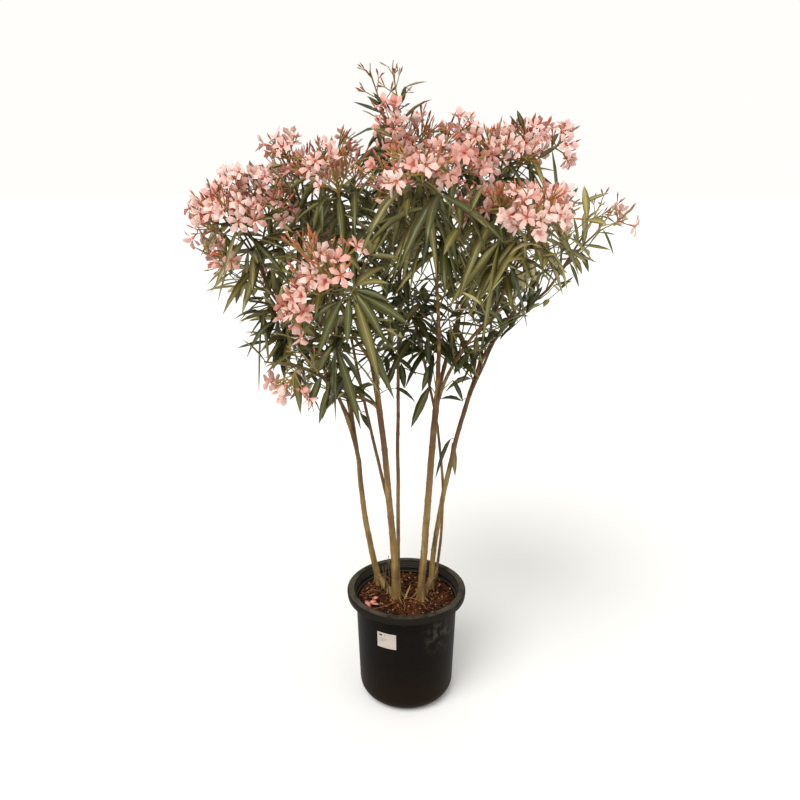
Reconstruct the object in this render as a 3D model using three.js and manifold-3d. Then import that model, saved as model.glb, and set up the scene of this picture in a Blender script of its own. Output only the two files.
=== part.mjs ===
// A flowering oleander of several canes in a black nursery pot.
// Millimetres and degrees, +Z up. The origin is the centre of the pot's flat underside, and -Y is the front.
// Each cane, each bough and each mass of foliage is one closed solid. A mass grows by a seeded rule: its stem
// forks into shoots, each shoot carries whorls of leaves, and flowers crown its tip.

import * as THREE from "three";
import { mergeVertices } from "three/addons/utils/BufferGeometryUtils.js";
import Module from "manifold-3d";

const wasm = await Module();
wasm.setup();

const clear = 0.3; // gap between neighbouring solids
const sliver = 0.02; // details smaller than this are smoothed away after a cut or a join

const pot = {
  height: 345,
  rimRadius: 175,
  mouthRadius: 152,
  shoulderRadius: 150,
  footRadius: 140,
  cornerRadius: 46,
  lipDepth: 22,
  wall: 3,
  facets: 40,
};
const groundLevel = pot.height - 35;
const label = { width: 52, height: 46, thickness: 0.8, bearing: 248, middle: 255 };

// Canes stand on the soil. foot: bearing and reach. tip: bearing, reach and height. girth: the radii at
// foot and tip. bow: the bearing in which the middle is pushed out, and how far.
const canes = {
  cane_left: { foot: [139, 108], tip: [147, 166, 703], girth: [9.5, 7], bow: [180, 20] },
  cane_centre: { foot: [188, 30], tip: [-130, 130, 1019], girth: [10.5, 7], bow: [5, 14] },
  cane_upright: { foot: [117, 52], tip: [102, 108, 1080], girth: [6, 4.6], bow: [190, 6] },
  cane_main: { foot: [-13, 44], tip: [-20, 86, 938], girth: [10.5, 8.5], bow: [170, 6] },
  cane_right: { foot: [29, 82], tip: [23, 228, 1010], girth: [8, 6], bow: [205, 58] },
  cane_slender: { foot: [47, 132], tip: [50, 104, 930], girth: [4.4, 3.6], bow: [0, 60] },
};
// flare: how much wider a foot is, as a share of its radius. flareFades: the height in which that fades, in
// radii. buried: how far below ground a cane is drawn from before it is cut flat.
const footing = { flare: 0.4, flareFades: 2.5, buried: 30 };

// Each branch is a bough and the mass of foliage at its end. from and at: the limb that it springs from, and
// at what share of its length. girth: the bough's radius there. centre: bearing, reach and height of the
// middle of the mass. spread and rise: how far its shoots' tips stand out from that middle, and above it.
const branches = {
  left_end: { from: "cane_left", at: 1, girth: 6, centre: [189, 420, 1385], spread: 90, rise: 70 },
  left_top: { from: "cane_left", at: 0.97, girth: 5, centre: [160, 300, 1480], spread: 85, rise: 100 },
  left_back: { from: "cane_left", at: 0.94, girth: 5, centre: [133, 420, 1310], spread: 90, rise: 100 },
  left_low: { from: "bough_left_back", at: 0.25, girth: 4.4, centre: [163, 395, 1170], spread: 85, rise: 70 },
  left_inner: { from: "cane_centre", at: 0.52, girth: 4.5, centre: [205, 165, 1440], spread: 80, rise: 110 },
  front_left: { from: "cane_centre", at: 1, girth: 6, centre: [-120, 345, 1275], spread: 90, rise: 80 },
  front_low: { from: "cane_centre", at: 0.86, girth: 5, centre: [-143, 350, 1085], spread: 100, rise: 0 },
  top: { from: "cane_upright", at: 0.96, girth: 4.6, centre: [120, 25, 1590], spread: 80, rise: 140 },
  back: { from: "cane_upright", at: 1, girth: 4.6, centre: [94, 335, 1420], spread: 95, rise: 110 },
  front: { from: "cane_main", at: 1, girth: 6.8, centre: [-78, 300, 1430], spread: 90, rise: 100 },
  right_top: { from: "cane_main", at: 0.98, girth: 6.4, centre: [14, 262, 1490], spread: 95, rise: 110 },
  front_right: { from: "cane_main", at: 0.94, girth: 5, centre: [-45, 375, 1350], spread: 90, rise: 100 },
  right_end: { from: "cane_right", at: 1, girth: 5.4, centre: [2, 474, 1350], spread: 95, rise: 70 },
  right_low: { from: "cane_right", at: 0.84, girth: 4.6, centre: [6, 270, 1165], spread: 85, rise: 60 },
  right_back: { from: "cane_right", at: 0.96, girth: 5, centre: [51, 390, 1345], spread: 95, rise: 100 },
  core: { from: "cane_slender", at: 1, girth: 4, centre: [-70, 30, 1200], spread: 85, rise: 70 },
};
// endsShort: distance from a bough's tip to the middle of its mass. onward: how much it first runs on along
// its parent, against straight to that middle. bendsAt: the share of its reach that it does so for.
const bough = { endsShort: 200, onward: 2.2, bendsAt: 0.45, tipRadius: 3.8 };
const stem = { radius: 3.6, forksShort: 125 }; // forksShort: distance from its fork to the middle of the mass

// whorls: where each whorl stands along a shoot, how many leaves it has, and their angle from the shoot.
// sunk: how far past the shoot's middle a root starts, as a share of the shoot's radius there.
// bendsAt: the share of its reach that it runs on along its stem. tries: turns about the mass's middle, and
// shares of the spread.
const shoot = {
  count: 3,
  bendsAt: 0.4,
  girth: [4.4, 3.2],
  steps: 3,
  whorls: [
    [0.34, 3, 95],
    [0.58, 3, 82],
    [0.82, 3, 66],
  ],
  sunk: 0.4,
  rootDepth: 12,
  tries: [
    [0, 1],
    [0, 0.75],
    [30, 0.9],
    [-30, 0.6],
    [0, 0.4],
    [60, 0.3],
  ],
};

// widest: share of the length at which it is widest. sag: how far the tip hangs down, as a share of the
// length. twist: the most that it turns about its own length. tries: turns about the shoot, and shares of the
// length.
const leaf = {
  length: 165,
  width: 28,
  thickness: 3.4,
  widest: 0.4,
  sag: 0.5,
  twist: 40,
  tries: [
    [0, 1],
    [22, 0.9],
    [-22, 0.8],
    [0, 0.62],
  ],
};

// reach and depth: how far the petals' tips stand out from the flower's axis, and from its root. tries: turns
// about the shoot, and angles from it.
const flower = {
  perHead: 2,
  petals: 5,
  reach: 30,
  depth: 40,
  notchReach: 14,
  notchDepth: 29,
  throatDepth: 27,
  tries: [
    [0, 45],
    [40, 38],
    [-40, 52],
  ],
};

// The crown's outer limits. levels: heights, with how far left and right the crown reaches there. Seen from
// above it is an ellipse at every height, and depth is how deep that is as a share of its width.
const crown = {
  levels: [
    [930, -360, 150],
    [1080, -470, 260],
    [1250, -540, 450],
    [1380, -562, 622],
    [1500, -562, 610],
    [1640, -420, 470],
    [1778, -150, 170],
  ],
  depth: 0.83,
  middle: 10, // how far back the ellipse's centre stands
};

const finishes = {
  plastic: new THREE.MeshStandardMaterial({ color: 0x1c1c1b, roughness: 0.55, metalness: 0 }),
  mulch: new THREE.MeshStandardMaterial({ color: 0x3a241a, roughness: 0.95, metalness: 0 }),
  bark: new THREE.MeshStandardMaterial({ color: 0x7d6238, roughness: 0.8, metalness: 0 }),
  foliage: new THREE.MeshStandardMaterial({ color: 0x5d6338, roughness: 0.6, metalness: 0 }),
  paper: new THREE.MeshStandardMaterial({ color: 0xe4e0dc, roughness: 0.7, metalness: 0 }),
};

const up = new THREE.Vector3(0, 0, 1);
const { degToRad, lerp } = THREE.MathUtils;

// A point from its bearing from +X, its reach from the pot's axis and its height.
function place([bearing, reach, height]) {
  return new THREE.Vector3(reach, 0, height).applyAxisAngle(up, degToRad(bearing));
}

// A repeatable source of numbers between 0 and 1.
function seeded(seed) {
  let state = seed * 48271;
  return () => {
    state = (state * 16807) % 2147483647;
    return state / 2147483647;
  };
}

// ---- solids and meshes ----

function solidOf(geometry) {
  const bare = geometry.clone();
  bare.deleteAttribute("normal");
  bare.deleteAttribute("uv");
  const merged = mergeVertices(bare);
  const triVerts = new Uint32Array(merged.index.array);
  const vertProperties = merged.attributes.position.array;
  return new wasm.Manifold(new wasm.Mesh({ numProp: 3, vertProperties, triVerts }));
}

// The largest of the bodies that a cut or a join leaves.
function largest(solid) {
  const bodies = solid.simplify(sliver).decompose();
  return bodies.reduce((best, body) => (body.volume() > best.volume() ? body : best));
}

function geometryOf(solid) {
  const { vertProperties, triVerts } = solid.getMesh();
  return new THREE.BufferGeometry()
    .setAttribute("position", new THREE.BufferAttribute(vertProperties, 3))
    .setIndex(new THREE.BufferAttribute(triVerts, 1));
}

function named(name, geometry, material) {
  const mesh = new THREE.Mesh(geometry, material);
  mesh.name = name;
  return mesh;
}

// Moves every corner of a geometry to where a function of its x, y and z puts it.
function reshape(geometry, moved) {
  const spots = geometry.attributes.position;
  for (let i = 0; i < spots.count; i++) {
    const spot = moved(spots.getX(i), spots.getY(i), spots.getZ(i));
    spots.setXYZ(i, spot.x, spot.y, spot.z);
  }
  return geometry;
}

// An axis well off a direction.
function guideFor(direction) {
  return Math.abs(direction.x) < 0.75 ? new THREE.Vector3(1, 0, 0) : new THREE.Vector3(0, 1, 0);
}

// Two directions square to a third. side, direction and front are ordered as a cylinder's x, y and z are.
function squareTo(direction, guide = guideFor(direction)) {
  const side = guide.clone().projectOnPlane(direction).normalize();
  const front = new THREE.Vector3().crossVectors(side, direction);
  return { side, front };
}

// A closed tapering rod: a cylinder bent along a curve, with one guide all along so that it doesn't twist.
function rod(curve, radiusAt, sides, steps) {
  const guide = guideFor(curve.getPoint(1).sub(curve.getPoint(0)).normalize());
  return reshape(new THREE.CylinderGeometry(1, 1, 1, sides, steps), (x, y, z) => {
    const share = y + 0.5;
    const { side, front } = squareTo(curve.getTangent(share), guide);
    return curve
      .getPoint(share)
      .addScaledVector(side, x * radiusAt(share))
      .addScaledVector(front, z * radiusAt(share));
  });
}

// ---- pot, soil and label ----

// The pot's outer radius at a height between its rounded foot and its lip.
function potRadius(height) {
  const share = (height - pot.cornerRadius) / (pot.height - pot.cornerRadius);
  return lerp(pot.footRadius, pot.shoulderRadius, share);
}

// The outline of the pot's body from the axis out, round the foot and up to a level, drawn in by an inset.
function bodyOutline(inset, level) {
  const roundMiddle = pot.footRadius - pot.cornerRadius;
  const round = new THREE.Path();
  round.absarc(roundMiddle, pot.cornerRadius, pot.cornerRadius - inset, -Math.PI / 2, 0, false);
  round.lineTo(potRadius(level) - inset, level);
  return [new THREE.Vector2(0, inset), ...round.getPoints(2)];
}

// The rolled lip runs out from the body and hangs down as a skirt.
function potGeometry() {
  const { height, rimRadius, mouthRadius, shoulderRadius, lipDepth, wall, facets } = pot;
  const lip = [
    [shoulderRadius + 3, height - wall - 2],
    [rimRadius - wall - 5, height - wall - 2],
    [rimRadius - wall - 1, height - lipDepth],
    [rimRadius - 1, height - lipDepth],
    [rimRadius, height - 6],
    [rimRadius - 5, height - 1],
    [rimRadius - 12, height],
    [mouthRadius + 4, height - 1],
    [mouthRadius, height - 6],
  ].map(([radius, level]) => new THREE.Vector2(radius, level));
  const outside = bodyOutline(0, height - lipDepth);
  const inside = bodyOutline(wall, height - lipDepth).reverse();
  return new THREE.LatheGeometry([...outside, ...lip, ...inside], facets).rotateX(Math.PI / 2);
}

// The root ball fills the pot to the level of the ground.
function soilGeometry() {
  const outline = [...bodyOutline(pot.wall + clear, groundLevel), new THREE.Vector2(0, groundLevel)];
  return new THREE.LatheGeometry(outline, pot.facets).rotateX(Math.PI / 2);
}

// A thin label curved round the pot and sloped with its side.
function labelGeometry() {
  const columns = 6;
  const sheet = new THREE.BoxGeometry(label.width, label.thickness, label.height, columns, 1, 1);
  return reshape(sheet, (x, y, z) => {
    const height = label.middle + z;
    const radius = potRadius(height) + clear + label.thickness / 2 - y;
    return place([label.bearing + THREE.MathUtils.radToDeg(x / radius), radius, height]);
  });
}

// ---- canes and boughs ----

// Every limb by name: its curve, and its solid grown by the gap that its neighbours keep.
const limbs = {};

// Makes a limb, cut clear of the limbs before it, and enters it in the list.
function addLimb(name, curve, radiusAt, sides, steps) {
  const whole = solidOf(rod(curve, radiusAt, sides, steps));
  const seated = Object.values(limbs).reduce((rest, limb) => rest.subtract(limb.keepOff), whole);
  const margin = clear / Math.cos(Math.PI / sides);
  const longer = new THREE.QuadraticBezierCurve3(
    curve.v0.clone().addScaledVector(curve.getTangent(0), -margin),
    curve.v1,
    curve.v2.clone().addScaledVector(curve.getTangent(1), margin),
  );
  const keepOff = solidOf(rod(longer, (share) => radiusAt(share) + margin, sides, steps));
  limbs[name] = { curve, keepOff };
  return largest(seated);
}

// A cane is drawn from below the soil and cut flat at ground level, where its foot flares.
function caneSolid(name, { foot, tip, girth, bow }) {
  const start = place([...foot, groundLevel]);
  const end = place(tip);
  const middle = start.clone().lerp(end, 0.5).add(place([...bow, 0]));
  const lean = middle.clone().sub(start).normalize();
  start.addScaledVector(lean, -footing.buried / lean.z);
  const curve = new THREE.QuadraticBezierCurve3(start, middle, end);
  const length = curve.getLength();
  const radiusAt = (share) => {
    const aboveGround = Math.max(share * length - footing.buried, 0);
    const flare = footing.flare * girth[0] * Math.exp(-aboveGround / (footing.flareFades * girth[0]));
    return lerp(girth[0], girth[1], share) + flare;
  };
  const whole = addLimb(name, curve, radiusAt, 8, Math.ceil(length / 95));
  const ground = new THREE.BoxGeometry(2 * pot.rimRadius, 2 * pot.rimRadius, pot.height);
  ground.translate(0, 0, groundLevel + clear - pot.height / 2);
  return whole.subtract(solidOf(ground));
}

// A bough leaves its parent's side or tip and bends towards the middle of its mass.
function boughSolid(name, { from, at, girth, centre }) {
  const parent = limbs[from].curve;
  const start = parent.getPoint(at);
  const away = place(centre).sub(start);
  const end = place(centre).addScaledVector(away.clone().normalize(), -bough.endsShort);
  const reach = start.distanceTo(end);
  const heading = parent.getTangent(at).multiplyScalar(bough.onward).add(away.normalize()).normalize();
  const middle = start.clone().addScaledVector(heading, reach * bough.bendsAt);
  const curve = new THREE.QuadraticBezierCurve3(start, middle, end);
  return addLimb(name, curve, (share) => lerp(girth, bough.tipRadius, share), 6, Math.ceil(reach / 110));
}

// ---- masses of foliage ----

const centres = Object.values(branches).map(({ centre }) => place(centre));

// A point is in the crown if it is inside the ellipse at its height.
function inCrown({ x, y, z }) {
  const above = crown.levels.findIndex(([level]) => level >= z);
  if (above < 1) return false;
  const [[lowLevel, lowLeft, lowRight], [level, left, right]] = crown.levels.slice(above - 1, above + 1);
  const share = (z - lowLevel) / (level - lowLevel);
  const halfWidth = (lerp(lowRight, right, share) - lerp(lowLeft, left, share)) / 2;
  const across = (x - lerp(lowLeft, left, share)) / halfWidth - 1;
  const back = (y - crown.middle) / (halfWidth * crown.depth);
  return across ** 2 + back ** 2 <= 1;
}

// A point is in a mass's own space if it is in the crown and nearer to that mass's centre than to any other.
function inSpace(centre, point) {
  if (!inCrown(point)) return false;
  return centres.every((other) => {
    const apart = other.distanceTo(centre);
    const lead = point.distanceToSquared(other) - point.distanceToSquared(centre);
    return apart === 0 || lead / (2 * apart) > clear;
  });
}

// A piece fits if its corners are in its mass's own space and it keeps off the limbs.
function fits(centre, geometry, piece, woodwork) {
  const spots = geometry.attributes.position;
  for (let i = 0; i < spots.count; i++) {
    if (!inSpace(centre, new THREE.Vector3().fromBufferAttribute(spots, i))) return false;
  }
  return piece.intersect(woodwork).isEmpty();
}

// A leaf has six faces: flat above, keeled below along its midrib, widest part-way along, and sagging.
function leafGeometry(root, direction, { length, twist }) {
  const level = new THREE.Vector3().crossVectors(direction, up).normalize();
  const across = level.applyAxisAngle(direction, degToRad(twist));
  const above = new THREE.Vector3().crossVectors(across, direction);
  const edge = Math.sin(Math.PI / 3);
  return reshape(new THREE.SphereGeometry(1, 3, 2), (x, y, z) => {
    const share = y > 0.5 ? 0 : y < -0.5 ? 1 : leaf.widest;
    return root
      .clone()
      .addScaledVector(direction, length * share)
      .addScaledVector(up, -leaf.sag * length * share ** 2)
      .addScaledVector(across, (z / edge) * (leaf.width / 2))
      .addScaledVector(above, (x * leaf.thickness) / 1.5);
  });
}

// A flower tapers to its root. Its mouth has five petals with a notch between each two, round a sunk throat.
function flowerGeometry(root, direction) {
  const ring = (reach, along, offset) =>
    Array.from({ length: flower.petals }, (_, n) =>
      splayed(direction, Math.PI / 2, (2 * Math.PI * (n + offset)) / flower.petals)
        .multiplyScalar(reach)
        .addScaledVector(direction, along)
        .add(root),
    );
  const notches = ring(flower.notchReach, flower.notchDepth, 0);
  const tips = ring(flower.reach, flower.depth, 0.5);
  const throat = root.clone().addScaledVector(direction, flower.throatDepth);
  const faces = notches.flatMap((notch, n) => {
    const next = notches[(n + 1) % flower.petals];
    return [root, notch, next, notch, tips[n], next, throat, tips[n], notch, throat, next, tips[n]];
  });
  return new THREE.BufferGeometry().setFromPoints(faces);
}

// The stem runs on from its bough's tip to the fork of the shoots.
function stemOf(name, { centre }) {
  const { curve } = limbs[`bough_${name}`];
  const start = curve.getPoint(1);
  const fork = start.clone().lerp(place(centre), 1 - stem.forksShort / bough.endsShort);
  const middle = start.clone().addScaledVector(curve.getTangent(1), start.distanceTo(fork) / 2);
  const stemCurve = new THREE.QuadraticBezierCurve3(start, middle, fork);
  return addLimb(`stem_${name}`, stemCurve, () => stem.radius, 5, 1);
}

// The direction at an angle from an axis, turned round it.
function splayed(axis, angle, turn) {
  const { side, front } = squareTo(axis);
  return axis
    .clone()
    .multiplyScalar(Math.cos(angle))
    .addScaledVector(side, Math.sin(angle) * Math.cos(turn))
    .addScaledVector(front, Math.sin(angle) * Math.sin(turn));
}

// A shoot runs from the fork to a tip that stands out from the middle of the mass and above it.
function shootCurve(stemCurve, middle, turn, out, rise) {
  const fork = stemCurve.getPoint(1);
  const tip = place([turn, out, rise]).add(middle);
  const bend = fork.clone().addScaledVector(stemCurve.getTangent(1), fork.distanceTo(tip) * shoot.bendsAt);
  bend.lerp(tip, 0.15);
  return new THREE.QuadraticBezierCurve3(fork, bend, tip);
}

// A point on the middle of a shoot, which is straight from each of its rings to the next.
function onShoot(curve, share) {
  const ring = Math.floor(share * shoot.steps);
  const from = curve.getPoint(ring / shoot.steps);
  const to = curve.getPoint((ring + 1) / shoot.steps);
  return from.lerp(to, share * shoot.steps - ring);
}

// A piece meets a body if they share more than the piece's sunken root.
function meets(piece, root, body) {
  const common = body.intersect(piece);
  if (common.isEmpty()) return false;
  const { min, max } = common.boundingBox();
  return [min, max].some((corner) => root.distanceTo(new THREE.Vector3(...corner)) > shoot.rootDepth);
}

function massSolid(stemSolid, name, { centre, spread, rise }, seed) {
  const roll = seeded(seed);
  const middle = place(centre);
  const girth = (share) => lerp(...shoot.girth, share);
  const { [`stem_${name}`]: ownStem, ...otherLimbs } = limbs;
  const woodwork = wasm.Manifold.union(Object.values(otherLimbs).map((limb) => limb.keepOff));
  const bodies = [stemSolid];
  const curves = [];

  for (let k = 0; k < shoot.count; k++) {
    const turn = (360 * (k + 0.6 * roll())) / shoot.count;
    const out = spread * (0.85 + 0.3 * roll());
    for (const [swing, trim] of shoot.tries) {
      const curve = shootCurve(ownStem.curve, middle, turn + swing, out * trim, rise);
      const geometry = rod(curve, girth, 3, shoot.steps);
      const piece = solidOf(geometry);
      if (!inSpace(middle, curve.getPoint(1)) || !piece.intersect(woodwork).isEmpty()) continue;
      bodies.push(piece);
      curves.push(curve);
      break;
    }
  }

  // Adds the first of the tries that keeps to the space and meets nothing beyond its root, or none.
  const grow = (curve, share, around, tries, geometryAt) => {
    for (const [swing, angle, size] of tries) {
      const direction = splayed(curve.getTangent(share), degToRad(angle), degToRad(around + swing));
      const root = onShoot(curve, share).addScaledVector(direction, -shoot.sunk * girth(share));
      const geometry = geometryAt(root, direction, size);
      const piece = solidOf(geometry);
      if (!fits(middle, geometry, piece, woodwork)) continue;
      if (bodies.some((body) => meets(piece, root, body))) continue;
      bodies.push(piece);
      break;
    }
  };

  for (const curve of curves) {
    for (const [level, [share, leaves, angle]] of shoot.whorls.entries()) {
      for (let n = 0; n < leaves; n++) {
        const around = (360 * (n + 0.5 * level + 0.25 * roll())) / leaves;
        const length = leaf.length * (0.85 + 0.3 * roll());
        const twist = leaf.twist * (2 * roll() - 1);
        const tries = leaf.tries.map(([swing, trim]) => [swing, angle, { length: length * trim, twist }]);
        grow(curve, share, around, tries, leafGeometry);
      }
    }
    for (let n = 0; n < flower.perHead; n++) {
      const around = (360 * (n + 0.4 * roll())) / flower.perHead;
      grow(curve, 0.99 - 0.05 * n, around, flower.tries, flowerGeometry);
    }
  }
  return largest(wasm.Manifold.union(bodies));
}

// ---- assembly ----

const plant = new THREE.Group();
plant.add(named("pot", potGeometry(), finishes.plastic));
plant.add(named("soil", soilGeometry(), finishes.mulch));
plant.add(named("pot_label", labelGeometry(), finishes.paper));
for (const [name, cane] of Object.entries(canes)) {
  plant.add(named(name, geometryOf(caneSolid(name, cane)), finishes.bark));
}
for (const [name, branch] of Object.entries(branches)) {
  plant.add(named(`bough_${name}`, geometryOf(boughSolid(`bough_${name}`, branch)), finishes.bark));
}
const stems = Object.entries(branches).map(([name, branch]) => stemOf(name, branch));
Object.entries(branches).forEach(([name, branch], index) => {
  const mass = massSolid(stems[index], name, branch, index + 1);
  plant.add(named(`foliage_${name}`, geometryOf(mass), finishes.foliage));
});

export default plant;
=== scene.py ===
import math
import random
from functools import partial

import bpy
import numpy as np
from mathutils import Matrix, Vector, noise


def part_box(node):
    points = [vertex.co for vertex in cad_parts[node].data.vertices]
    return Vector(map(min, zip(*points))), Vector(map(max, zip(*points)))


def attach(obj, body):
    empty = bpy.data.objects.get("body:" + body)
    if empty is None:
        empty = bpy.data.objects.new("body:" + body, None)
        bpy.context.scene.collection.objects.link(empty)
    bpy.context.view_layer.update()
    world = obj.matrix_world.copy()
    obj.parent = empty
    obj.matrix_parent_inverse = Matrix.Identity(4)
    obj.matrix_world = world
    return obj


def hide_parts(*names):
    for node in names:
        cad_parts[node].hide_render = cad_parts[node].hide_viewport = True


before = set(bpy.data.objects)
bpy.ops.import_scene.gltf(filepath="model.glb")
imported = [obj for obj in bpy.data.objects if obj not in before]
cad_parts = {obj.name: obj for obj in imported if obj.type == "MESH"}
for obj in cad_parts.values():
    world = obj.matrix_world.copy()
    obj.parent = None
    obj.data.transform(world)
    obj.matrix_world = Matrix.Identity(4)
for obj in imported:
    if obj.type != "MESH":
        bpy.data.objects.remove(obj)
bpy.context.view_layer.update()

scene = bpy.context.scene
up = Vector((0, 0, 1))


# small helpers

fullTurn = 6.28
spiral = 2.4  # from each shoot round to the next, in radians


def lerp(low, high, share):
    return low + (high - low) * share


def pick(roll, low, high):  # a number between two, by chance
    return lerp(low, high, roll.random())


def place(bearing, reach, height):  # a point from its bearing, its reach from the pot's axis, its height
    turn = math.radians(bearing)
    return Vector((reach * math.cos(turn), reach * math.sin(turn), height))


def hexColor(code):  # a screen colour such as "#7d6238" as the linear one that shaders take
    parts = [int(code[i:i + 2], 16) / 255 for i in (1, 3, 5)]
    return tuple(c / 12.92 if c < 0.04045 else ((c + 0.055) / 1.055) ** 2.4 for c in parts) + (1,)


def deselectAll():
    if bpy.context.object and bpy.context.object.mode == "EDIT":
        bpy.ops.object.mode_set(mode="OBJECT")
    bpy.ops.object.select_all(action="DESELECT")


def dress(piece, materials, slot, *nodes):  # finish a piece and tie it to the frame
    for material in materials:
        piece.data.materials.append(material)
    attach(piece, "root")
    if nodes:
        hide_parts(*nodes)


# materials

class Wire:  # a socket that can be added and multiplied
    def __init__(self, finish, socket):
        self.finish = finish
        self.socket = socket

    def __add__(self, other):
        return self.finish.maths("ADD", self, other)

    def __radd__(self, other):
        return self.finish.maths("ADD", other, self)

    def __mul__(self, other):
        return self.finish.maths("MULTIPLY", self, other)

    def __rmul__(self, other):
        return self.finish.maths("MULTIPLY", other, self)


class Finish:  # a material and the nodes that make it
    def __init__(self, name, color, roughness, **fixed):
        self.material = bpy.data.materials.new(name)
        self.material.use_nodes = True
        self.tree = self.material.node_tree
        self.shader = self.tree.nodes["Principled BSDF"]
        self.feed(self.shader.inputs["Base Color"], hexColor(color))
        self.feed(self.shader.inputs["Roughness"], roughness)
        for socket, value in fixed.items():
            self.feed(self.shader.inputs[socket.replace("_", " ")], value)

    def feed(self, socket, value):
        if isinstance(value, Wire):
            self.tree.links.new(value.socket, socket)
        else:
            socket.default_value = value

    def node(self, kind, settings=None, inputs=None, output=0):
        made = self.tree.nodes.new(kind)
        for key, value in (settings or {}).items():
            setattr(made, key, value)
        for key, value in (inputs or {}).items():
            self.feed(made.inputs[key], value)
        return Wire(self, made.outputs[output])

    def maths(self, operation, first, second):
        return self.node("ShaderNodeMath", {"operation": operation}, {0: first, 1: second})

    def spots(self):  # where a point of the surface is
        return self.node("ShaderNodeTexCoord", output="Object")

    def grain(self, scale, detail=3, stretch=(1, 1, 1)):  # noise from 0 to 1
        where = self.node("ShaderNodeMapping", inputs={"Vector": self.spots(), "Scale": stretch})
        return self.node("ShaderNodeTexNoise", inputs={"Vector": where, "Scale": scale, "Detail": detail})

    def between(self, value, low, high):  # 0 below low, 1 above high
        return self.node("ShaderNodeMapRange", {"interpolation_type": "SMOOTHSTEP"},
                         {"Value": value, "From Min": low, "From Max": high})

    def height(self):
        return self.node("ShaderNodeSeparateXYZ", inputs={0: self.spots()}, output="Z")

    def near(self, middle, radius):  # 1 at a place, 0 beyond a radius
        apart = self.node("ShaderNodeVectorMath", {"operation": "DISTANCE"},
                          {0: self.spots(), 1: middle}, output="Value")
        return self.between(apart, radius, 0)

    def mix(self, mask, first, second):  # colours: codes or wires
        first, second = (c if isinstance(c, Wire) else hexColor(c) for c in (first, second))
        return self.node("ShaderNodeMix", {"data_type": "RGBA"}, {"Factor": mask, 6: first, 7: second}, 2)

    def color(self, wire):
        self.feed(self.shader.inputs["Base Color"], wire)

    def roughness(self, wire):
        self.feed(self.shader.inputs["Roughness"], wire)

    def bump(self, height, distance, strength=1.0):
        relief = self.node("ShaderNodeBump", inputs={"Height": height, "Distance": distance,
                                                     "Strength": strength})
        self.feed(self.shader.inputs["Normal"], relief)


# camera, lights and floor

view = {"place": (-0.019, -2.04, 1.566), "tilt": 72.5, "lens": 35.1}
lights = {  # way that the light falls, its softness in degrees and its strength
    "key": {"from": (-0.75, -1.25, 1.9), "soft": 38, "strength": 2.3},
    "fill": {"from": (1.4, -1.2, 0.7), "soft": 70, "strength": 0.55},
}
sky = {"light": 0.62, "seen": 1.0, "color": "#fffefb"}

deselectAll()
bpy.ops.object.camera_add(location=view["place"], rotation=(math.radians(view["tilt"]), 0, 0))
camera = bpy.context.object
camera.data.lens = view["lens"]
camera.data.sensor_width = 36
scene.camera = camera
scene.view_settings.view_transform = "Standard"

for name, lamp in lights.items():
    bpy.ops.object.light_add(type="SUN", location=lamp["from"])
    made = bpy.context.object
    made.name = name + "Light"
    made.data.angle = math.radians(lamp["soft"])
    made.data.energy = lamp["strength"]
    made.rotation_euler = (-Vector(lamp["from"])).to_track_quat("-Z", "Y").to_euler()

world = bpy.data.worlds.new("softSky")  # brighter where it is seen than as a light, so the backdrop is pale
scene.world = world
world.use_nodes = True
skyNodes, skyLinks = world.node_tree.nodes, world.node_tree.links
seen, lit = skyNodes["Background"], skyNodes.new("ShaderNodeBackground")
for background, strength in ((seen, sky["seen"]), (lit, sky["light"])):
    background.inputs["Color"].default_value = hexColor(sky["color"])
    background.inputs["Strength"].default_value = strength
blend, path = skyNodes.new("ShaderNodeMixShader"), skyNodes.new("ShaderNodeLightPath")
skyLinks.new(path.outputs["Is Camera Ray"], blend.inputs[0])
skyLinks.new(lit.outputs[0], blend.inputs[1])
skyLinks.new(seen.outputs[0], blend.inputs[2])
skyLinks.new(blend.outputs[0], skyNodes["World Output"].inputs["Surface"])

bpy.ops.mesh.primitive_plane_add(size=60)
floor = bpy.context.object
floor.name = "paleFloor"
floor.data.materials.append(Finish("palePlaster", "#f7f6f3", 0.95, Specular_IOR_Level=0.1).material)
print("camera, lights and floor are set")


# pot

potShape = {"height": 0.345, "shoulder": 0.150, "foot": 0.140, "corner": 0.046, "wall": 0.003,
            "facets": 128, "smoothBelow": 38, "insideFrom": 0.30, "insideReach": 0.1521}
# potColors edge is a painted highlight along the lip's outer top edge
# potColors foot is a painted reflection: the warm brown that the lower body is mixed towards stands in for
# the floor's reflection
# potColors inside is painted light: a lighter colour for the inside wall above the soil, which lifts the
# shade under the rim
potColors = {"body": "#110e0a", "foot": "#20140a", "lip": "#201d18", "edge": "#544c40", "dust": "#635a4c",
             "inside": "#35302a"}
dustSpots = {"rim": (0.150, -0.075, 0.338), "side": (0.103, -0.112, 0.256), "reach": 0.085}
groundLevel = 0.310  # the top of the soil


def potRadius(height):
    share = (height - potShape["corner"]) / (potShape["height"] - potShape["corner"])
    return lerp(potShape["foot"], potShape["shoulder"], share)


def roundFoot(inset, count):  # the outline from the underside round the corner
    corner, middle = potShape["corner"], potShape["foot"] - potShape["corner"]
    turns = [math.pi / 2 * i / count for i in range(count + 1)]
    return [(middle + (corner - inset) * math.sin(t), corner - (corner - inset) * math.cos(t)) for t in turns]


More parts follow.
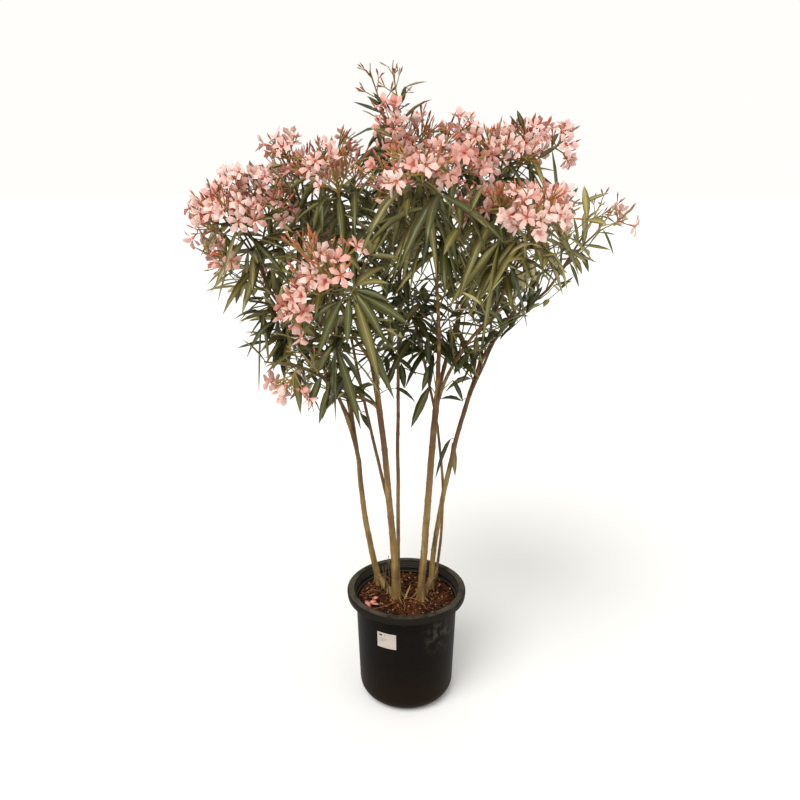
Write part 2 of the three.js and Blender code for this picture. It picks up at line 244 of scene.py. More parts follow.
def turned(name, outline, facets):  # a closed body drawn up ring by ring from its underside
    deselectAll()
    radius, height = outline[0]
    bpy.ops.mesh.primitive_circle_add(vertices=facets, radius=radius, fill_type="NGON",
                                      location=(0, 0, height))
    made = bpy.context.object
    made.name = name
    bpy.ops.object.transform_apply(location=True)
    bpy.ops.object.mode_set(mode="EDIT")
    bpy.ops.mesh.select_all(action="SELECT")
    for nextRadius, nextHeight in outline[1:]:
        bpy.ops.mesh.extrude_region_move(TRANSFORM_OT_translate={"value": (0, 0, nextHeight - height)})
        grow = nextRadius / radius
        bpy.ops.transform.resize(value=(grow, grow, 1), center_override=(0, 0, nextHeight))
        radius, height = nextRadius, nextHeight
    bpy.ops.mesh.select_all(action="SELECT")
    bpy.ops.mesh.normals_make_consistent(inside=False)
    bpy.ops.object.mode_set(mode="OBJECT")
    return made


def potFinish():
    made = Finish("blackPlastic", potColors["body"], 0.5, Specular_IOR_Level=0.04)
    cloudy, fine = made.grain(9, 4), made.grain(140, 3)
    # painted reflection: towards the bottom the body is mixed up to 60% towards the warm brown foot colour,
    # which stands in for the floor's reflection
    low = made.between(made.height(), 0.19, 0.02) * 0.6
    body = made.mix(low, potColors["body"], potColors["foot"])
    lip = made.between(made.height(), 0.320, 0.328)
    body = made.mix(lip * (0.6 + 0.4 * cloudy), body, potColors["lip"])
    # painted highlight: a thin light line round the lip's outer top edge, broken up by noise, stands in for
    # light catching the edge
    edge = made.between(made.height(), 0.3428, 0.3446) * made.between(made.grain(30, 4), 0.25, 0.6)
    body = made.mix(edge * 0.8, body, potColors["edge"])
    dust = made.near(dustSpots["rim"], dustSpots["reach"]) * made.between(cloudy, 0.38, 0.6)
    scuff = made.near(dustSpots["side"], dustSpots["reach"]) * made.between(made.grain(60, 6), 0.42, 0.74)
    worn = made.maths("MAXIMUM", dust * 0.8, scuff * 0.5)
    specks = made.between(made.grain(420, 1), 0.72, 0.78) * 0.35
    made.color(made.mix(made.maths("MAXIMUM", worn, specks), body, potColors["dust"]))
    made.roughness(0.40 + 0.3 * dust + 0.2 * scuff + 0.14 * fine)
    made.bump(fine + cloudy, 0.0006, 0.35)
    return made.material


rimOutline = (  # radius and depth below the pot's top, from the shoulder out under the lip and over it
    (0.1515, 0.016), (0.1530, 0.0065), (0.1565, 0.0048), (0.1660, 0.0048), (0.1690, 0.0065),
    (0.1708, 0.018), (0.1712, 0.0218), (0.1722, 0.0226), (0.1734, 0.0222), (0.1742, 0.017),
    (0.1749, 0.010), (0.1748, 0.0062), (0.1737, 0.0030), (0.1712, 0.0010), (0.1670, 0.0002),
    (0.1620, 0), (0.1572, 0.0003), (0.1540, 0.0014), (0.1522, 0.0040),
)
wall = potShape["wall"]
grooves = [(0.1519 - 0.0003 * i - 0.0012 * (i % 2), 0.0065 + 0.0032 * i) for i in range(9)]
potOutline = (
    [(0.080, 0.0035), (0.086, 0.0005)] + roundFoot(0, 9)
    + [(potRadius(z), z) for z in (0.10, 0.17, 0.24, 0.29, 0.318)]
    + [(radius, potShape["height"] - depth) for radius, depth in (*rimOutline, *grooves)]
    + [(potRadius(z) - wall, z) for z in (0.31, 0.26, 0.18, 0.10)]
    + roundFoot(wall, 6)[::-1]
)
pot = turned("nurseryPot", potOutline, potShape["facets"])
bpy.ops.object.shade_smooth_by_angle(angle=math.radians(potShape["smoothBelow"]))
for face in pot.data.polygons:  # the inside above the soil
    out = face.center.xy
    shows = face.center.z > potShape["insideFrom"] and out.length < potShape["insideReach"]
    if shows and face.normal.xy.dot(out) < 0:
        face.material_index = 1
# painted light: the inside wall above the soil gets a lighter base than the black body, which lifts the shade
# under the rim
inside = Finish("insideWallPaintedLight", potColors["inside"], 0.45, Specular_IOR_Level=0.3)
inside.roughness(0.35 + 0.2 * inside.grain(60, 3))
dress(pot, [potFinish(), inside.material], "pot", "pot")
print("the pot is turned")


# soil with its litter

soilShape = {"rings": 26, "sunk": 0.002, "mound": 0.004, "moundSpread": 0.0011, "rough": 0.0036,
             "edge": 0.150, "edgeFades": 0.02, "chips": 1900, "fibres": 60}


def soilHeight(x, y):  # the uneven top of the mix
    spot = Vector((x, y, 0))
    crown = sum(math.exp(-((x - a) ** 2 + (y - b) ** 2) / soilShape["moundSpread"]) for a, b in caneFeet)
    rough = noise.noise(spot * 34) + 0.6 * noise.noise(spot * 95)
    edge = min(1, max(0, (soilShape["edge"] - spot.length) / soilShape["edgeFades"]))
    level = groundLevel - soilShape["sunk"]
    return level + soilShape["rough"] * rough * edge + soilShape["mound"] * min(crown, 1.2)


# limbs: canes stand on the soil, boughs spring from them

canes = {  # foot: bearing, reach; tip: bearing, reach, height; girth: radii; bow: bearing and how far
    "cane_left": {"foot": (139, 0.108), "tip": (147, 0.166, 0.703),
                  "girth": (0.0095, 0.007), "bow": (180, 0.020)},
    "cane_centre": {"foot": (188, 0.030), "tip": (-130, 0.130, 1.019),
                    "girth": (0.0105, 0.007), "bow": (5, 0.014)},
    "cane_upright": {"foot": (117, 0.052), "tip": (102, 0.108, 1.080),
                     "girth": (0.006, 0.0046), "bow": (190, 0.006)},
    "cane_main": {"foot": (-13, 0.044), "tip": (-20, 0.086, 0.938),
                  "girth": (0.0105, 0.0085), "bow": (170, 0.006)},
    "cane_right": {"foot": (29, 0.082), "tip": (23, 0.228, 1.010),
                   "girth": (0.008, 0.006), "bow": (205, 0.058)},
    "cane_slender": {"foot": (47, 0.132), "tip": (50, 0.104, 0.930),
                     "girth": (0.0044, 0.0036), "bow": (0, 0.060)},
}
branches = {  # grows from, at what share of that, girth, centre of its mass, spread and rise of the shoots
    "left_end": ("cane_left", 1, 0.006, (189, 0.420, 1.385), 0.090, 0.070),
    "left_top": ("cane_left", 0.97, 0.005, (160, 0.300, 1.480), 0.085, 0.100),
    "left_back": ("cane_left", 0.94, 0.005, (133, 0.420, 1.310), 0.090, 0.100),
    "left_low": ("bough_left_back", 0.25, 0.0044, (163, 0.395, 1.170), 0.085, 0.070),
    "left_inner": ("cane_centre", 0.52, 0.0045, (205, 0.165, 1.440), 0.080, 0.110),
    "front_left": ("cane_centre", 1, 0.006, (-120, 0.345, 1.275), 0.090, 0.080),
    "front_low": ("cane_centre", 0.86, 0.005, (-143, 0.350, 1.085), 0.100, 0),
    "top": ("cane_upright", 0.96, 0.0046, (120, 0.025, 1.590), 0.080, 0.140),
    "back": ("cane_upright", 1, 0.0046, (94, 0.335, 1.420), 0.095, 0.110),
    "front": ("cane_main", 1, 0.0068, (-78, 0.300, 1.430), 0.090, 0.100),
    "right_top": ("cane_main", 0.98, 0.0064, (14, 0.262, 1.490), 0.095, 0.110),
    "front_right": ("cane_main", 0.94, 0.005, (-45, 0.375, 1.350), 0.090, 0.100),
    "right_end": ("cane_right", 1, 0.0054, (2, 0.474, 1.350), 0.095, 0.070),
    "right_low": ("cane_right", 0.84, 0.0046, (6, 0.270, 1.165), 0.085, 0.060),
    "right_back": ("cane_right", 0.96, 0.005, (51, 0.390, 1.345), 0.095, 0.100),
    "core": ("cane_slender", 1, 0.004, (-70, 0.030, 1.200), 0.085, 0.070),
}
bloom = {  # flowers and buds at each of a mass's three shoots, and how far along it they stand
    "left_end": ((8, 30, 0.75), (13, 28, 0.7), (14, 30, 0.7)),
    "left_top": ((2, 26, 0.6), (1, 26, 0.6), (2, 28, 0.6)),
    "left_back": ((4, 20, 0.7), (6, 20, 0.7), (5, 18, 0.7)),
    "left_low": ((0, 0, 0), (1, 24, 0.7), (0, 0, 0)),
    "left_inner": ((1, 28, 0.7), (5, 28, 0.7), (3, 26, 0.65)),
    "front_left": ((0, 0, 0), (3, 20, 0.5), (8, 28, 0.62)),
    "front_low": ((0, 0, 0), (0, 0, 0), (0, 8, 0.5)),
    "top": ((3, 14, 0.4), (1, 8, 0.48), (4, 14, 0.42)),
    "back": ((8, 16, 0.7), (7, 16, 0.7), (7, 18, 0.7)),
    "front": ((11, 28, 0.94), (1, 30, 0.94), (9, 28, 0.94)),
    "right_top": ((5, 30, 0.74), (7, 30, 0.74), (6, 30, 0.74)),
    "front_right": ((9, 34, 0.88), (6, 26, 0.92), (10, 36, 0.82)),
    "right_end": ((0, 14, 0.75), (0, 12, 0.75), (0, 12, 0.7)),
    "right_low": ((0, 0, 0), (0, 6, 0.8), (0, 0, 0)),
    "right_back": ((7, 14, 0.7), (6, 16, 0.7), (8, 16, 0.7)),
    "core": ((0, 0, 0), (0, 0, 0), (0, 0, 0)),
}
extraHeads = {  # heads on shoots of their own: bearing, reach and height, then flowers, buds and size
    "left_end": [(-168, 0.435, 1.312, 4, 14, 0.7), (-171, 0.450, 1.440, 9, 24, 0.9),
                 (177, 0.340, 1.480, 9, 20, 0.85), (-174, 0.465, 1.375, 8, 22, 0.9),
                 (-172, 0.380, 1.458, 9, 24, 0.9), (-173, 0.396, 1.488, 9, 18, 0.85),
                 (-164, 0.410, 1.405, 5, 24, 0.8)],
    "left_top": [(177, 0.298, 1.546, 8, 16, 0.75), (168, 0.195, 1.555, 4, 28, 0.9)],
    "left_inner": [(-164, 0.217, 1.510, 5, 24, 0.9)],
    "front_left": [(-123, 0.378, 1.270, 10, 18, 0.8), (-127, 0.374, 1.213, 10, 24, 0.75),
                   (-131, 0.330, 1.322, 2, 24, 0.8)],
    "front_low": [(-145, 0.338, 1.056, 4, 28, 0.85), (-149, 0.355, 1.044, 4, 22, 0.7)],
    "top": [(168, 0.062, 1.664, 0, 22, 1.35), (-130, 0.034, 1.672, 0, 22, 1.25),
            (-117, 0.070, 1.620, 9, 18, 0.75), (-34, 0.036, 1.580, 4, 28, 0.9),
            (-17, 0.106, 1.582, 8, 26, 0.85), (-94, 0.110, 1.550, 0, 20, 0.9),
            (-56, 0.115, 1.550, 7, 20, 0.9)],
    "front": [(-91, 0.250, 1.474, 6, 22, 0.85), (-97, 0.215, 1.500, 3, 16, 0.8),
              (-79, 0.262, 1.495, 8, 20, 0.8)],
    "right_top": [(6, 0.300, 1.585, 8, 24, 0.85), (3, 0.368, 1.580, 9, 16, 0.65),
                  (0, 0.206, 1.530, 4, 20, 0.9), (0, 0.268, 1.530, 4, 22, 0.9),
                  (-7, 0.175, 1.585, 3, 22, 0.85)],
    "front_right": [(-51, 0.370, 1.440, 7, 26, 0.9), (-48, 0.405, 1.405, 9, 22, 0.85)],
    "right_end": [(2, 0.400, 1.425, 0, 20, 0.75), (-1, 0.532, 1.398, 2, 12, 0.6)],
}
hanging = ("front_low",)  # masses whose heads hang down
fans = {  # leafy shoots with no head: bearing, reach and height of their tips
    "front_left": [(-101, 0.335, 1.235)],
    "left_inner": [(-140, 0.215, 1.330)],
    "core": [(-110, 0.120, 1.150)],
    "front_low": [(-127, 0.250, 1.115), (-121, 0.175, 1.085)],
}
stars = {  # leaves spread from a shoot's tip: bearing, reach, height, first and last angle, count and length
    "front_left": [(-110, 0.362, 1.278, -10, -80, 2, 0.160), (-113, 0.325, 1.215, -50, -130, 3, 0.170)],
    "front_low": [(-127, 0.285, 1.125, -60, -135, 3, 0.150)],
    "front": [(-79, 0.335, 1.485, 0, -170, 4, 0.145)],
    "front_right": [(-57, 0.370, 1.385, -10, -170, 5, 0.150)],
    "left_low": [(-177, 0.385, 1.165, -75, -170, 2, 0.150), (180, 0.340, 1.180, 170, 215, 2, 0.120)],
    "top": [(-112, 0.115, 1.560, 95, 240, 5, 0.085)],
}
singleLeaves = {  # root and tip as bearing, reach and height, then width, sag and tint
    "top": [
        ((180, 0.058, 1.669), (-169, 0.101, 1.7), 0.011, 0.10, "deep"),
        ((180, 0.056, 1.674), (-167, 0.087, 1.709), 0.010, 0.05, "deep"),
        ((-125, 0.025, 1.684), (-103, 0.031, 1.722), 0.012, 0.00, "deep"),
        ((-115, 0.022, 1.718), (-33, 0.055, 1.731), 0.005, 0.25, "greyed"),
        ((-157, 0.078, 1.647), (-160, 0.12, 1.667), 0.005, 0.20, "greyed"),
        ((-107, 0.126, 1.602), (-121, 0.163, 1.621), 0.012, 0.25, "olive"),
    ],
    "right_top": [
        ((0, 0.288, 1.623), (-2, 0.267, 1.669), 0.013, 0.00, "deep"),
        ((0, 0.278, 1.623), (0, 0.249, 1.658), 0.005, 0.10, "dark"),
        ((-4, 0.321, 1.554), (-5, 0.372, 1.587), 0.012, 0.15, "deep"),
    ],
    "right_end": [
        ((3, 0.436, 1.439), (0, 0.51, 1.472), 0.011, 0.15, "greyed"),
        ((3, 0.407, 1.444), (1, 0.433, 1.486), 0.012, 0.05, "deep"),
        ((3, 0.427, 1.294), (0, 0.451, 1.231), 0.010, 0.30, "deep"),
        ((3, 0.454, 1.322), (0, 0.473, 1.272), 0.016, 0.25, "dark"),
    ],
    "left_low": [
        ((-177, 0.346, 1.144), (-172, 0.426, 1.054), 0.019, 0.75, "deep"),
        ((180, 0.426, 1.262), (-177, 0.448, 1.192), 0.022, 0.50, "deep"),
    ],
    "front_low": [
        ((-140, 0.278, 1.042), (-141, 0.318, 0.957), 0.019, 0.20, "deep"),
        ((-137, 0.264, 1.021), (-138, 0.298, 0.923), 0.019, 0.15, "deep"),
        ((-128, 0.23, 1.062), (-130, 0.288, 0.979), 0.017, 0.20, "dark"),
    ],
    "front_left": [
        ((-110, 0.362, 1.269), (-100, 0.366, 1.09), 0.022, 0.25, "deep"),
        ((-109, 0.36, 1.276), (-98, 0.384, 1.177), 0.022, 0.30, "deep"),
        ((-113, 0.368, 1.265), (-121, 0.398, 1.129), 0.021, 0.30, "deep"),
        ((-109, 0.36, 1.291), (-96, 0.382, 1.302), 0.014, 0.35, "olive"),
        ((-109, 0.359, 1.282), (-96, 0.362, 1.257), 0.016, 0.35, "deep"),
        ((-111, 0.364, 1.265), (-110, 0.395, 1.166), 0.020, 0.20, "deep"),
        ((-115, 0.363, 1.254), (-125, 0.417, 1.189), 0.016, 0.40, "deep"),
    ],
    "low": [
        ((-18, 0.065, 0.969), (-78, 0.051, 0.859), 0.023, 0.15, "deep"),
        ((-173, 0.129, 0.89), (-162, 0.098, 0.837), 0.015, 0.25, "dark"),
        ((29, 0.146, 0.783), (36, 0.103, 0.659), 0.013, 0.60, "dark"),
        ((28, 0.149, 0.771), (21, 0.151, 0.674), 0.020, 0.25, "olive"),
        ((-123, 0.06, 0.972), (-74, 0.083, 0.94), 0.011, 0.50, "dark"),
        ((11, 0.156, 0.91), (18, 0.096, 0.915), 0.012, 0.60, "dark"),
        ((146, 0.036, 1.064), (-174, 0.095, 1.058), 0.010, 0.35, "dark"),
        ((144, 0.034, 1.036), (0, 0.026, 0.993), 0.013, 0.35, "deep"),
        ((149, 0.038, 1.018), (180, 0.058, 0.955), 0.018, 0.15, "dark"),
        ((180, 0.016, 1.026), (-110, 0.021, 0.961), 0.019, 0.10, "dark"),
        ((-17, 0.07, 1.032), (-52, 0.063, 0.961), 0.020, 0.35, "deep"),
        ((-30, 0.061, 1.104), (-41, 0.076, 1.036), 0.021, 0.10, "dark"),
        ((-48, 0.027, 1.12), (-67, 0.033, 1.051), 0.015, 0.10, "dark"),
        ((7, 0.163, 1.069), (0, 0.126, 1.025), 0.012, 0.20, "dark"),
        ((7, 0.165, 1.067), (4, 0.159, 1.008), 0.012, 0.20, "dark"),
        ((13, 0.182, 0.971), (0, 0.103, 0.943), 0.018, 0.70, "deep"),
        ((0, 0.124, 0.979), (-7, 0.154, 0.923), 0.014, 0.30, "dark"),
    ],
}
leafy = {  # share of the side shoots that grow, share of the leaves missing, and how much they hang
    "left_end": (0.8, 0.3, 0.35), "left_top": (1.1, 0.15, 0.5), "left_back": (0.9, 0.15, 0.6),
    "left_low": (0.8, 0.1, 0.6), "front_low": (0.7, 0.2, 1), "top": (0.8, 0.2, 0.6),
    "back": (0.8, 0.2, 0.8), "front": (0.7, 0.32, 1), "right_top": (0.9, 0.15, 0.6),
    "right_end": (0.7, 0.3, 0.6), "right_low": (0.75, 0.2, 0.8), "core": (0.8, 0.2, 0.8),
}
leafyUsual = (1, 0.10, 1)
smallLeaved = {"right_end": 0.66}
growth = {"endsShort": 0.200, "onward": 2.2, "boughBends": 0.45, "boughTip": 0.0038, "buried": 0.030,
          "flare": 0.4, "flareFades": 2.5, "stem": 0.0036, "forksShort": 0.125, "shootBends": 0.4}
caneFeet = [place(*cane["foot"], 0).xy[:] for cane in canes.values()]
centres = {name: place(*branch[3]) for name, branch in branches.items()}


class Bow:  # a curve through space, bent once
    def __init__(self, start, middle, end):
        self.start, self.middle, self.end = start, middle, end

    def at(self, share):
        rest = 1 - share
        return self.start * rest * rest + self.middle * (2 * share * rest) + self.end * share * share

    def along(self, share):
        return ((self.middle - self.start) * (1 - share) + (self.end - self.middle) * share).normalized()

    def until(self, share):  # its first part
        return Bow(self.start, self.start.lerp(self.middle, share), self.at(share))

    def atHeight(self, height, steps=200):  # its point nearest to a height
        return min((self.at(i / steps) for i in range(steps + 1)), key=lambda spot: abs(spot.z - height))

    def length(self):
        spots = [self.at(i / 40) for i in range(41)]
        return sum((b - a).length for a, b in zip(spots, spots[1:]))


def caneBow(cane):
    start, end = place(*cane["foot"], groundLevel), place(*cane["tip"])
    middle = (start + end) / 2 + place(*cane["bow"], 0)
    lean = (middle - start).normalized()
    return Bow(start - lean * (growth["buried"] / lean.z), middle, end)


def boughBow(parent, at, centre):
    start = parent.at(at)
    away = (centre - start).normalized()
    end = centre - away * growth["endsShort"]
    reach = (end - start).length
    heading = (parent.along(at) * growth["onward"] + away).normalized()
    return Bow(start, start + heading * reach * growth["boughBends"], end)


def stemBow(bough, centre):
    start = bough.at(1)
    fork = start.lerp(centre, 1 - growth["forksShort"] / growth["endsShort"])
    return Bow(start, start + bough.along(1) * ((fork - start).length / 2), fork)


limbs = {name: caneBow(cane) for name, cane in canes.items()}
for name, branch in branches.items():
    parent, at = branch[:2]
    limbs["bough_" + name] = boughBow(limbs[parent], at, centres[name])


# bark

bark = {"ringEvery": 0.006, "nodeEvery": 0.055, "nodeSwell": 0.10, "nodeLength": 0.004, "wander": 0.0012,
        "lumps": 0.0011, "lumpSize": 0.016, "grooves": 0.0006, "grooveSize": 0.0035,
        "caneSides": 8, "boughSides": 4, "boughFlare": 0.25, "boughFlareFades": 0.04}
barkColors = {"old": "#876a3a", "young": "#623c1c", "streak": "#573b1c", "paleStreak": "#a98e52",
              "patch": "#8f7a45", "ring": "#4a3419", "speck": "#452d16"}


def barkFinish():
    made = Finish("tanBark", barkColors["old"], 0.75)
    streaks = made.grain(60, 4, (1, 1, 0.16))
    patches = made.grain(22, 3)
    specks = made.grain(420, 2, (1, 1, 2.2))
    younger = made.between(made.height() + 0.12 * patches, 0.58, 0.98)
    wood = made.mix(younger, barkColors["old"], barkColors["young"])
    wood = made.mix(made.between(streaks, 0.42, 0.70) * 0.75, wood, barkColors["streak"])
    paleStreaks = made.between(made.grain(75, 4, (1, 1, 0.1)), 0.52, 0.68) * 0.6
    wood = made.mix(paleStreaks, wood, barkColors["paleStreak"])
    wood = made.mix(made.between(patches, 0.5, 0.75) * 0.45, wood, barkColors["patch"])
    rings = made.node("ShaderNodeTexWave", {"bands_direction": "Z"},
                      {"Vector": made.spots(), "Scale": 6.0, "Distortion": 7.0,
                       "Detail": 2.0, "Detail Scale": 2.0})
    wood = made.mix(made.between(rings, 0.965, 0.998) * 0.3, wood, barkColors["ring"])
    made.color(made.mix(made.between(specks, 0.60, 0.68) * 0.6, wood, barkColors["speck"]))
    made.roughness(0.62 + 0.25 * streaks)
    made.bump(streaks + 0.5 * specks, 0.0008, 0.6)
    return made.material


def reliefTexture(name, size):
    made = bpy.data.textures.new(name, "CLOUDS")
    made.noise_scale = size
    made.noise_depth = 2
    return made


lumpTexture = reliefTexture("barkLumps", bark["lumpSize"])
grooveTexture = reliefTexture("barkGrooves", bark["grooveSize"])


def barkTube(name, bow, radiusAt, first, sides, seed):  # a limb with swollen nodes and a rough skin
    roll = random.Random(seed)
    length = bow.length()
    count = max(int(length / bark["ringEvery"]), 6)
    offset = roll.random() * bark["nodeEvery"]
    path = bpy.data.curves.new(name, "CURVE")
    path.dimensions = "3D"
    path.bevel_depth = 1
    path.bevel_resolution = sides
    path.use_fill_caps = True
    spline = path.splines.new("POLY")
    spline.points.add(count)
    for i, point in enumerate(spline.points):
        share = lerp(first, 1, i / count)
        spot = bow.at(share)
        settle = min(1, 4 * share * (1 - share))
        drift = Vector(noise.noise(spot * 9 + Vector((seed, 0, 7 * axis))) for axis in range(3))
        drift *= bark["wander"] * 2 * settle
        fromNode = ((share * length + offset) % bark["nodeEvery"]) - bark["nodeEvery"] / 2
        swell = 1 + bark["nodeSwell"] * math.exp(-(fromNode / bark["nodeLength"]) ** 2)
        point.co = (*(spot + drift), 1)
        point.radius = radiusAt(share) * swell
    made = bpy.data.objects.new(name, path)
    scene.collection.objects.link(made)
    deselectAll()
    made.select_set(True)
    bpy.context.view_layer.objects.active = made
    bpy.ops.object.convert(target="MESH")
    made = bpy.context.object
    bpy.ops.object.mode_set(mode="EDIT")
    bpy.ops.mesh.select_all(action="SELECT")
    bpy.ops.mesh.remove_doubles(threshold=0.00002)
    bpy.ops.mesh.normals_make_consistent(inside=False)
    bpy.ops.object.mode_set(mode="OBJECT")
    for texture, depth in ((lumpTexture, bark["lumps"]), (grooveTexture, bark["grooves"])):
        bpy.ops.object.modifier_add(type="DISPLACE")
        relief = made.modifiers[-1]
        relief.texture = texture
        relief.strength = depth
        relief.texture_coords = "LOCAL"
        bpy.ops.object.modifier_apply(modifier=relief.name)
    bpy.ops.object.shade_smooth()
    return made


tanBark = barkFinish()
for index, (name, cane) in enumerate(canes.items()):
    bow, girth = limbs[name], cane["girth"]
    length = bow.length()

    def caneRadius(share):
        aboveGround = max(share * length - growth["buried"], 0)
        flare = growth["flare"] * girth[0] * math.exp(-aboveGround / (growth["flareFades"] * girth[0]))
        return lerp(*girth, share) + flare

    firstShare = (growth["buried"] - 0.006) / length
    piece = barkTube(name + "_bark", bow, caneRadius, firstShare, bark["caneSides"], index + 1)
    dress(piece, [tanBark], "bark", name)
for index, (name, branch) in enumerate(branches.items()):
    girth = branch[2]

    def boughRadius(share):
        flare = bark["boughFlare"] * math.exp(-share / bark["boughFlareFades"])
        return lerp(girth, growth["boughTip"], share) * (1 + flare)

    bow = limbs["bough_" + name]
    piece = barkTube("bough_" + name + "_bark", bow, boughRadius, 0, bark["boughSides"], index + 20)
    dress(piece, [tanBark], "bark", "bough_" + name)

thinStem = {  # it leaves the centre cane at a height; its bulge, tip and radii
    "from": 0.615, "bulge": (-170, 0.008), "tip": (-169, 0.151, 1.109), "girth": (0.0048, 0.0034), "sides": 5,
}
start, stemTip = limbs["cane_centre"].atHeight(thinStem["from"], 100), place(*thinStem["tip"])
stem = Bow(start, start.lerp(stemTip, 0.5) + place(*thinStem["bulge"], 0), stemTip)
stemRadius = partial(lerp, *thinStem["girth"])
dress(barkTube("thinStem_bark", stem, stemRadius, 0, thinStem["sides"], 50), [tanBark], "bark")
print("canes and boughs have their bark")


# many small shapes joined into one piece

class Heap:
    def __init__(self):
        self.corners, self.faces, self.finishes, self.count = [], [], [], 0

    def add(self, corners, faces, finishes):
        self.corners.append(np.asarray(corners, float))
        self.faces += [[corner + self.count for corner in face] for face in faces]
        self.finishes += finishes
        self.count += len(corners)

    def rod(self, spots, radii, sides, finish):
        corners, faces = rodShape(spots, radii, sides)
        self.add(corners, faces, [finish] * len(faces))

    def piece(self, name, smooth=True):
        mesh = bpy.data.meshes.new(name)
        mesh.from_pydata(np.concatenate(self.corners).tolist(), [], self.faces)
        mesh.polygons.foreach_set("material_index", self.finishes)
        mesh.polygons.foreach_set("use_smooth", [smooth] * len(self.faces))
        mesh.update()
        made = bpy.data.objects.new(name, mesh)
        scene.collection.objects.link(made)
        return made


def squareTo(direction):  # two directions square to a third
    guide = Vector((1, 0, 0)) if abs(direction.x) < 0.75 else Vector((0, 1, 0))
    side = (guide - direction * guide.dot(direction)).normalized()
    return side, side.cross(direction)


def splayed(axis, angle, turn):  # the direction at an angle from an axis, turned round it
    side, front = squareTo(axis)
    return (axis * math.cos(angle) + side * (math.sin(angle) * math.cos(turn))
            + front * (math.sin(angle) * math.sin(turn)))


def rodShape(spots, radii, sides):  # a closed rod through some points
    corners, faces = [], []
    for i, spot in enumerate(spots):
        along = (spots[min(i + 1, len(spots) - 1)] - spots[max(i - 1, 0)]).normalized()
        side, front = squareTo((spots[-1] - spots[0]).normalized())
        side = (side - along * side.dot(along)).normalized()
        front = side.cross(along)
        for k in range(sides):
            turn = 2 * math.pi * k / sides
            corners.append(spot + side * (radii[i] * math.cos(turn)) + front * (radii[i] * math.sin(turn)))
    for i in range(len(spots) - 1):
        for k in range(sides):
            a, b = i * sides + k, i * sides + (k + 1) % sides
            faces.append((a, a + sides, b + sides, b))
    faces.append(tuple(range(sides)))
    faces.append(tuple(range(len(corners) - 1, len(corners) - sides - 1, -1)))
    return corners, faces


# leaves: lance-shaped, folded along a pale midrib, pale beneath

leafShape = {
    "length": 0.165, "width": 0.0205, "thick": 0.0016, "fold": 0.20, "rib": 0.06,
    "stations": (0, 0.10, 0.30, 0.55, 0.80, 1),  # along the leaf, with its share of the width at each
    "widths": (0.10, 0.42, 0.92, 1.0, 0.62, 0.02),
    "lengths": (0.72, 1.15), "breadths": (0.8, 1.15), "sags": (0.45, 1.3), "twist": 40,  # how leaves differ
    "tries": ((0, 1), (22, 0.9), (-22, 0.8), (0, 0.62)),  # swing and share of the length, until one fits
}
leafTints = {  # blade, midrib and underside
    "olive": ("#736b34", "#9f9560", "#938955"),
    "light": ("#938849", "#c6b97c", "#b0a56c"),
    "deep": ("#515124", "#7f7b4c", "#777241"),
    "greyed": ("#877f50", "#b7aa77", "#a3976a"),
    "dark": ("#39401f", "#60643c", "#585b36"),
}
leafFaces, leafParts = [], []  # parts: 0 blade, 1 midrib, 2 underside
for i in range(5):
    a, b = 5 * i, 5 * i + 5
    for left, right, part in ((0, 1, 0), (1, 2, 1), (2, 3, 0), (3, 4, 2), (4, 0, 2)):
        leafFaces.append((a + left, a + right, b + right, b + left))
        leafParts.append(part)
leafFaces += [(4, 3, 2, 1, 0), (25, 26, 27, 28, 29)]
leafParts += [0, 0]


def leafCorners(root, direction, length, width, sag, twist):
    across = Matrix.Rotation(math.radians(twist), 3, direction) @ direction.cross(up).normalized()
    corners = []
    for share, wide in zip(leafShape["stations"], leafShape["widths"]):
        middle = root + direction * (length * share) - up * (sag * length * share * share)
        along = (direction - up * (2 * sag * share)).normalized()
        above = across.cross(along)
        half = width / 2 * wide
        raised = above * (leafShape["fold"] * half)
        rib = across * (leafShape["rib"] * half)
        thick = above * (leafShape["thick"] * min(1, wide * 1.5))
        corners += [middle - across * half + raised, middle - rib, middle + rib,
                    middle + across * half + raised, middle - thick]
    return corners


def facing(direction, face):  # the twist that turns a leaf's upper side towards a direction
    flat, wanted = direction.cross(up), direction.cross(face)
    return math.degrees(math.atan2(flat.cross(wanted).dot(direction), flat.dot(wanted)))


# flowers: a narrow tube with five skewed petals round a coral throat; buds are closed spindles

flowerShape = {"tube": 0.018, "throat": 0.0042, "sunk": 0.011, "foot": 0.0014, "waist": (0.0022, 0.010)}
petalShape = {  # out, aside and up from the mouth's middle
    "outline": ((0.0044, -0.0022, 0), (0.0130, -0.0062, 0.0028), (0.0222, -0.0078, 0.0022),
                (0.0294, 0.0010, 0.0040), (0.0190, 0.0086, 0.0056), (0.0044, 0.0022, 0)),
    "top": (0.0150, 0.0002, 0.0058), "bottom": (0.0150, 0.0002, 0.0020),
}
# the inner part of each petal is darker: this is partly the petal's own deeper colour by the throat and
# partly painted shade there
blossomTints = {  # petal and its inner part
    "pale": ("#eeccc1", "#e9b0a0"),
    "pink": ("#e6b9ad", "#e29c8d"),
    "salmon": ("#e0a89b", "#d88a7a"),
}
petalPart, heartPart, throatPart, calyxPart = range(4)


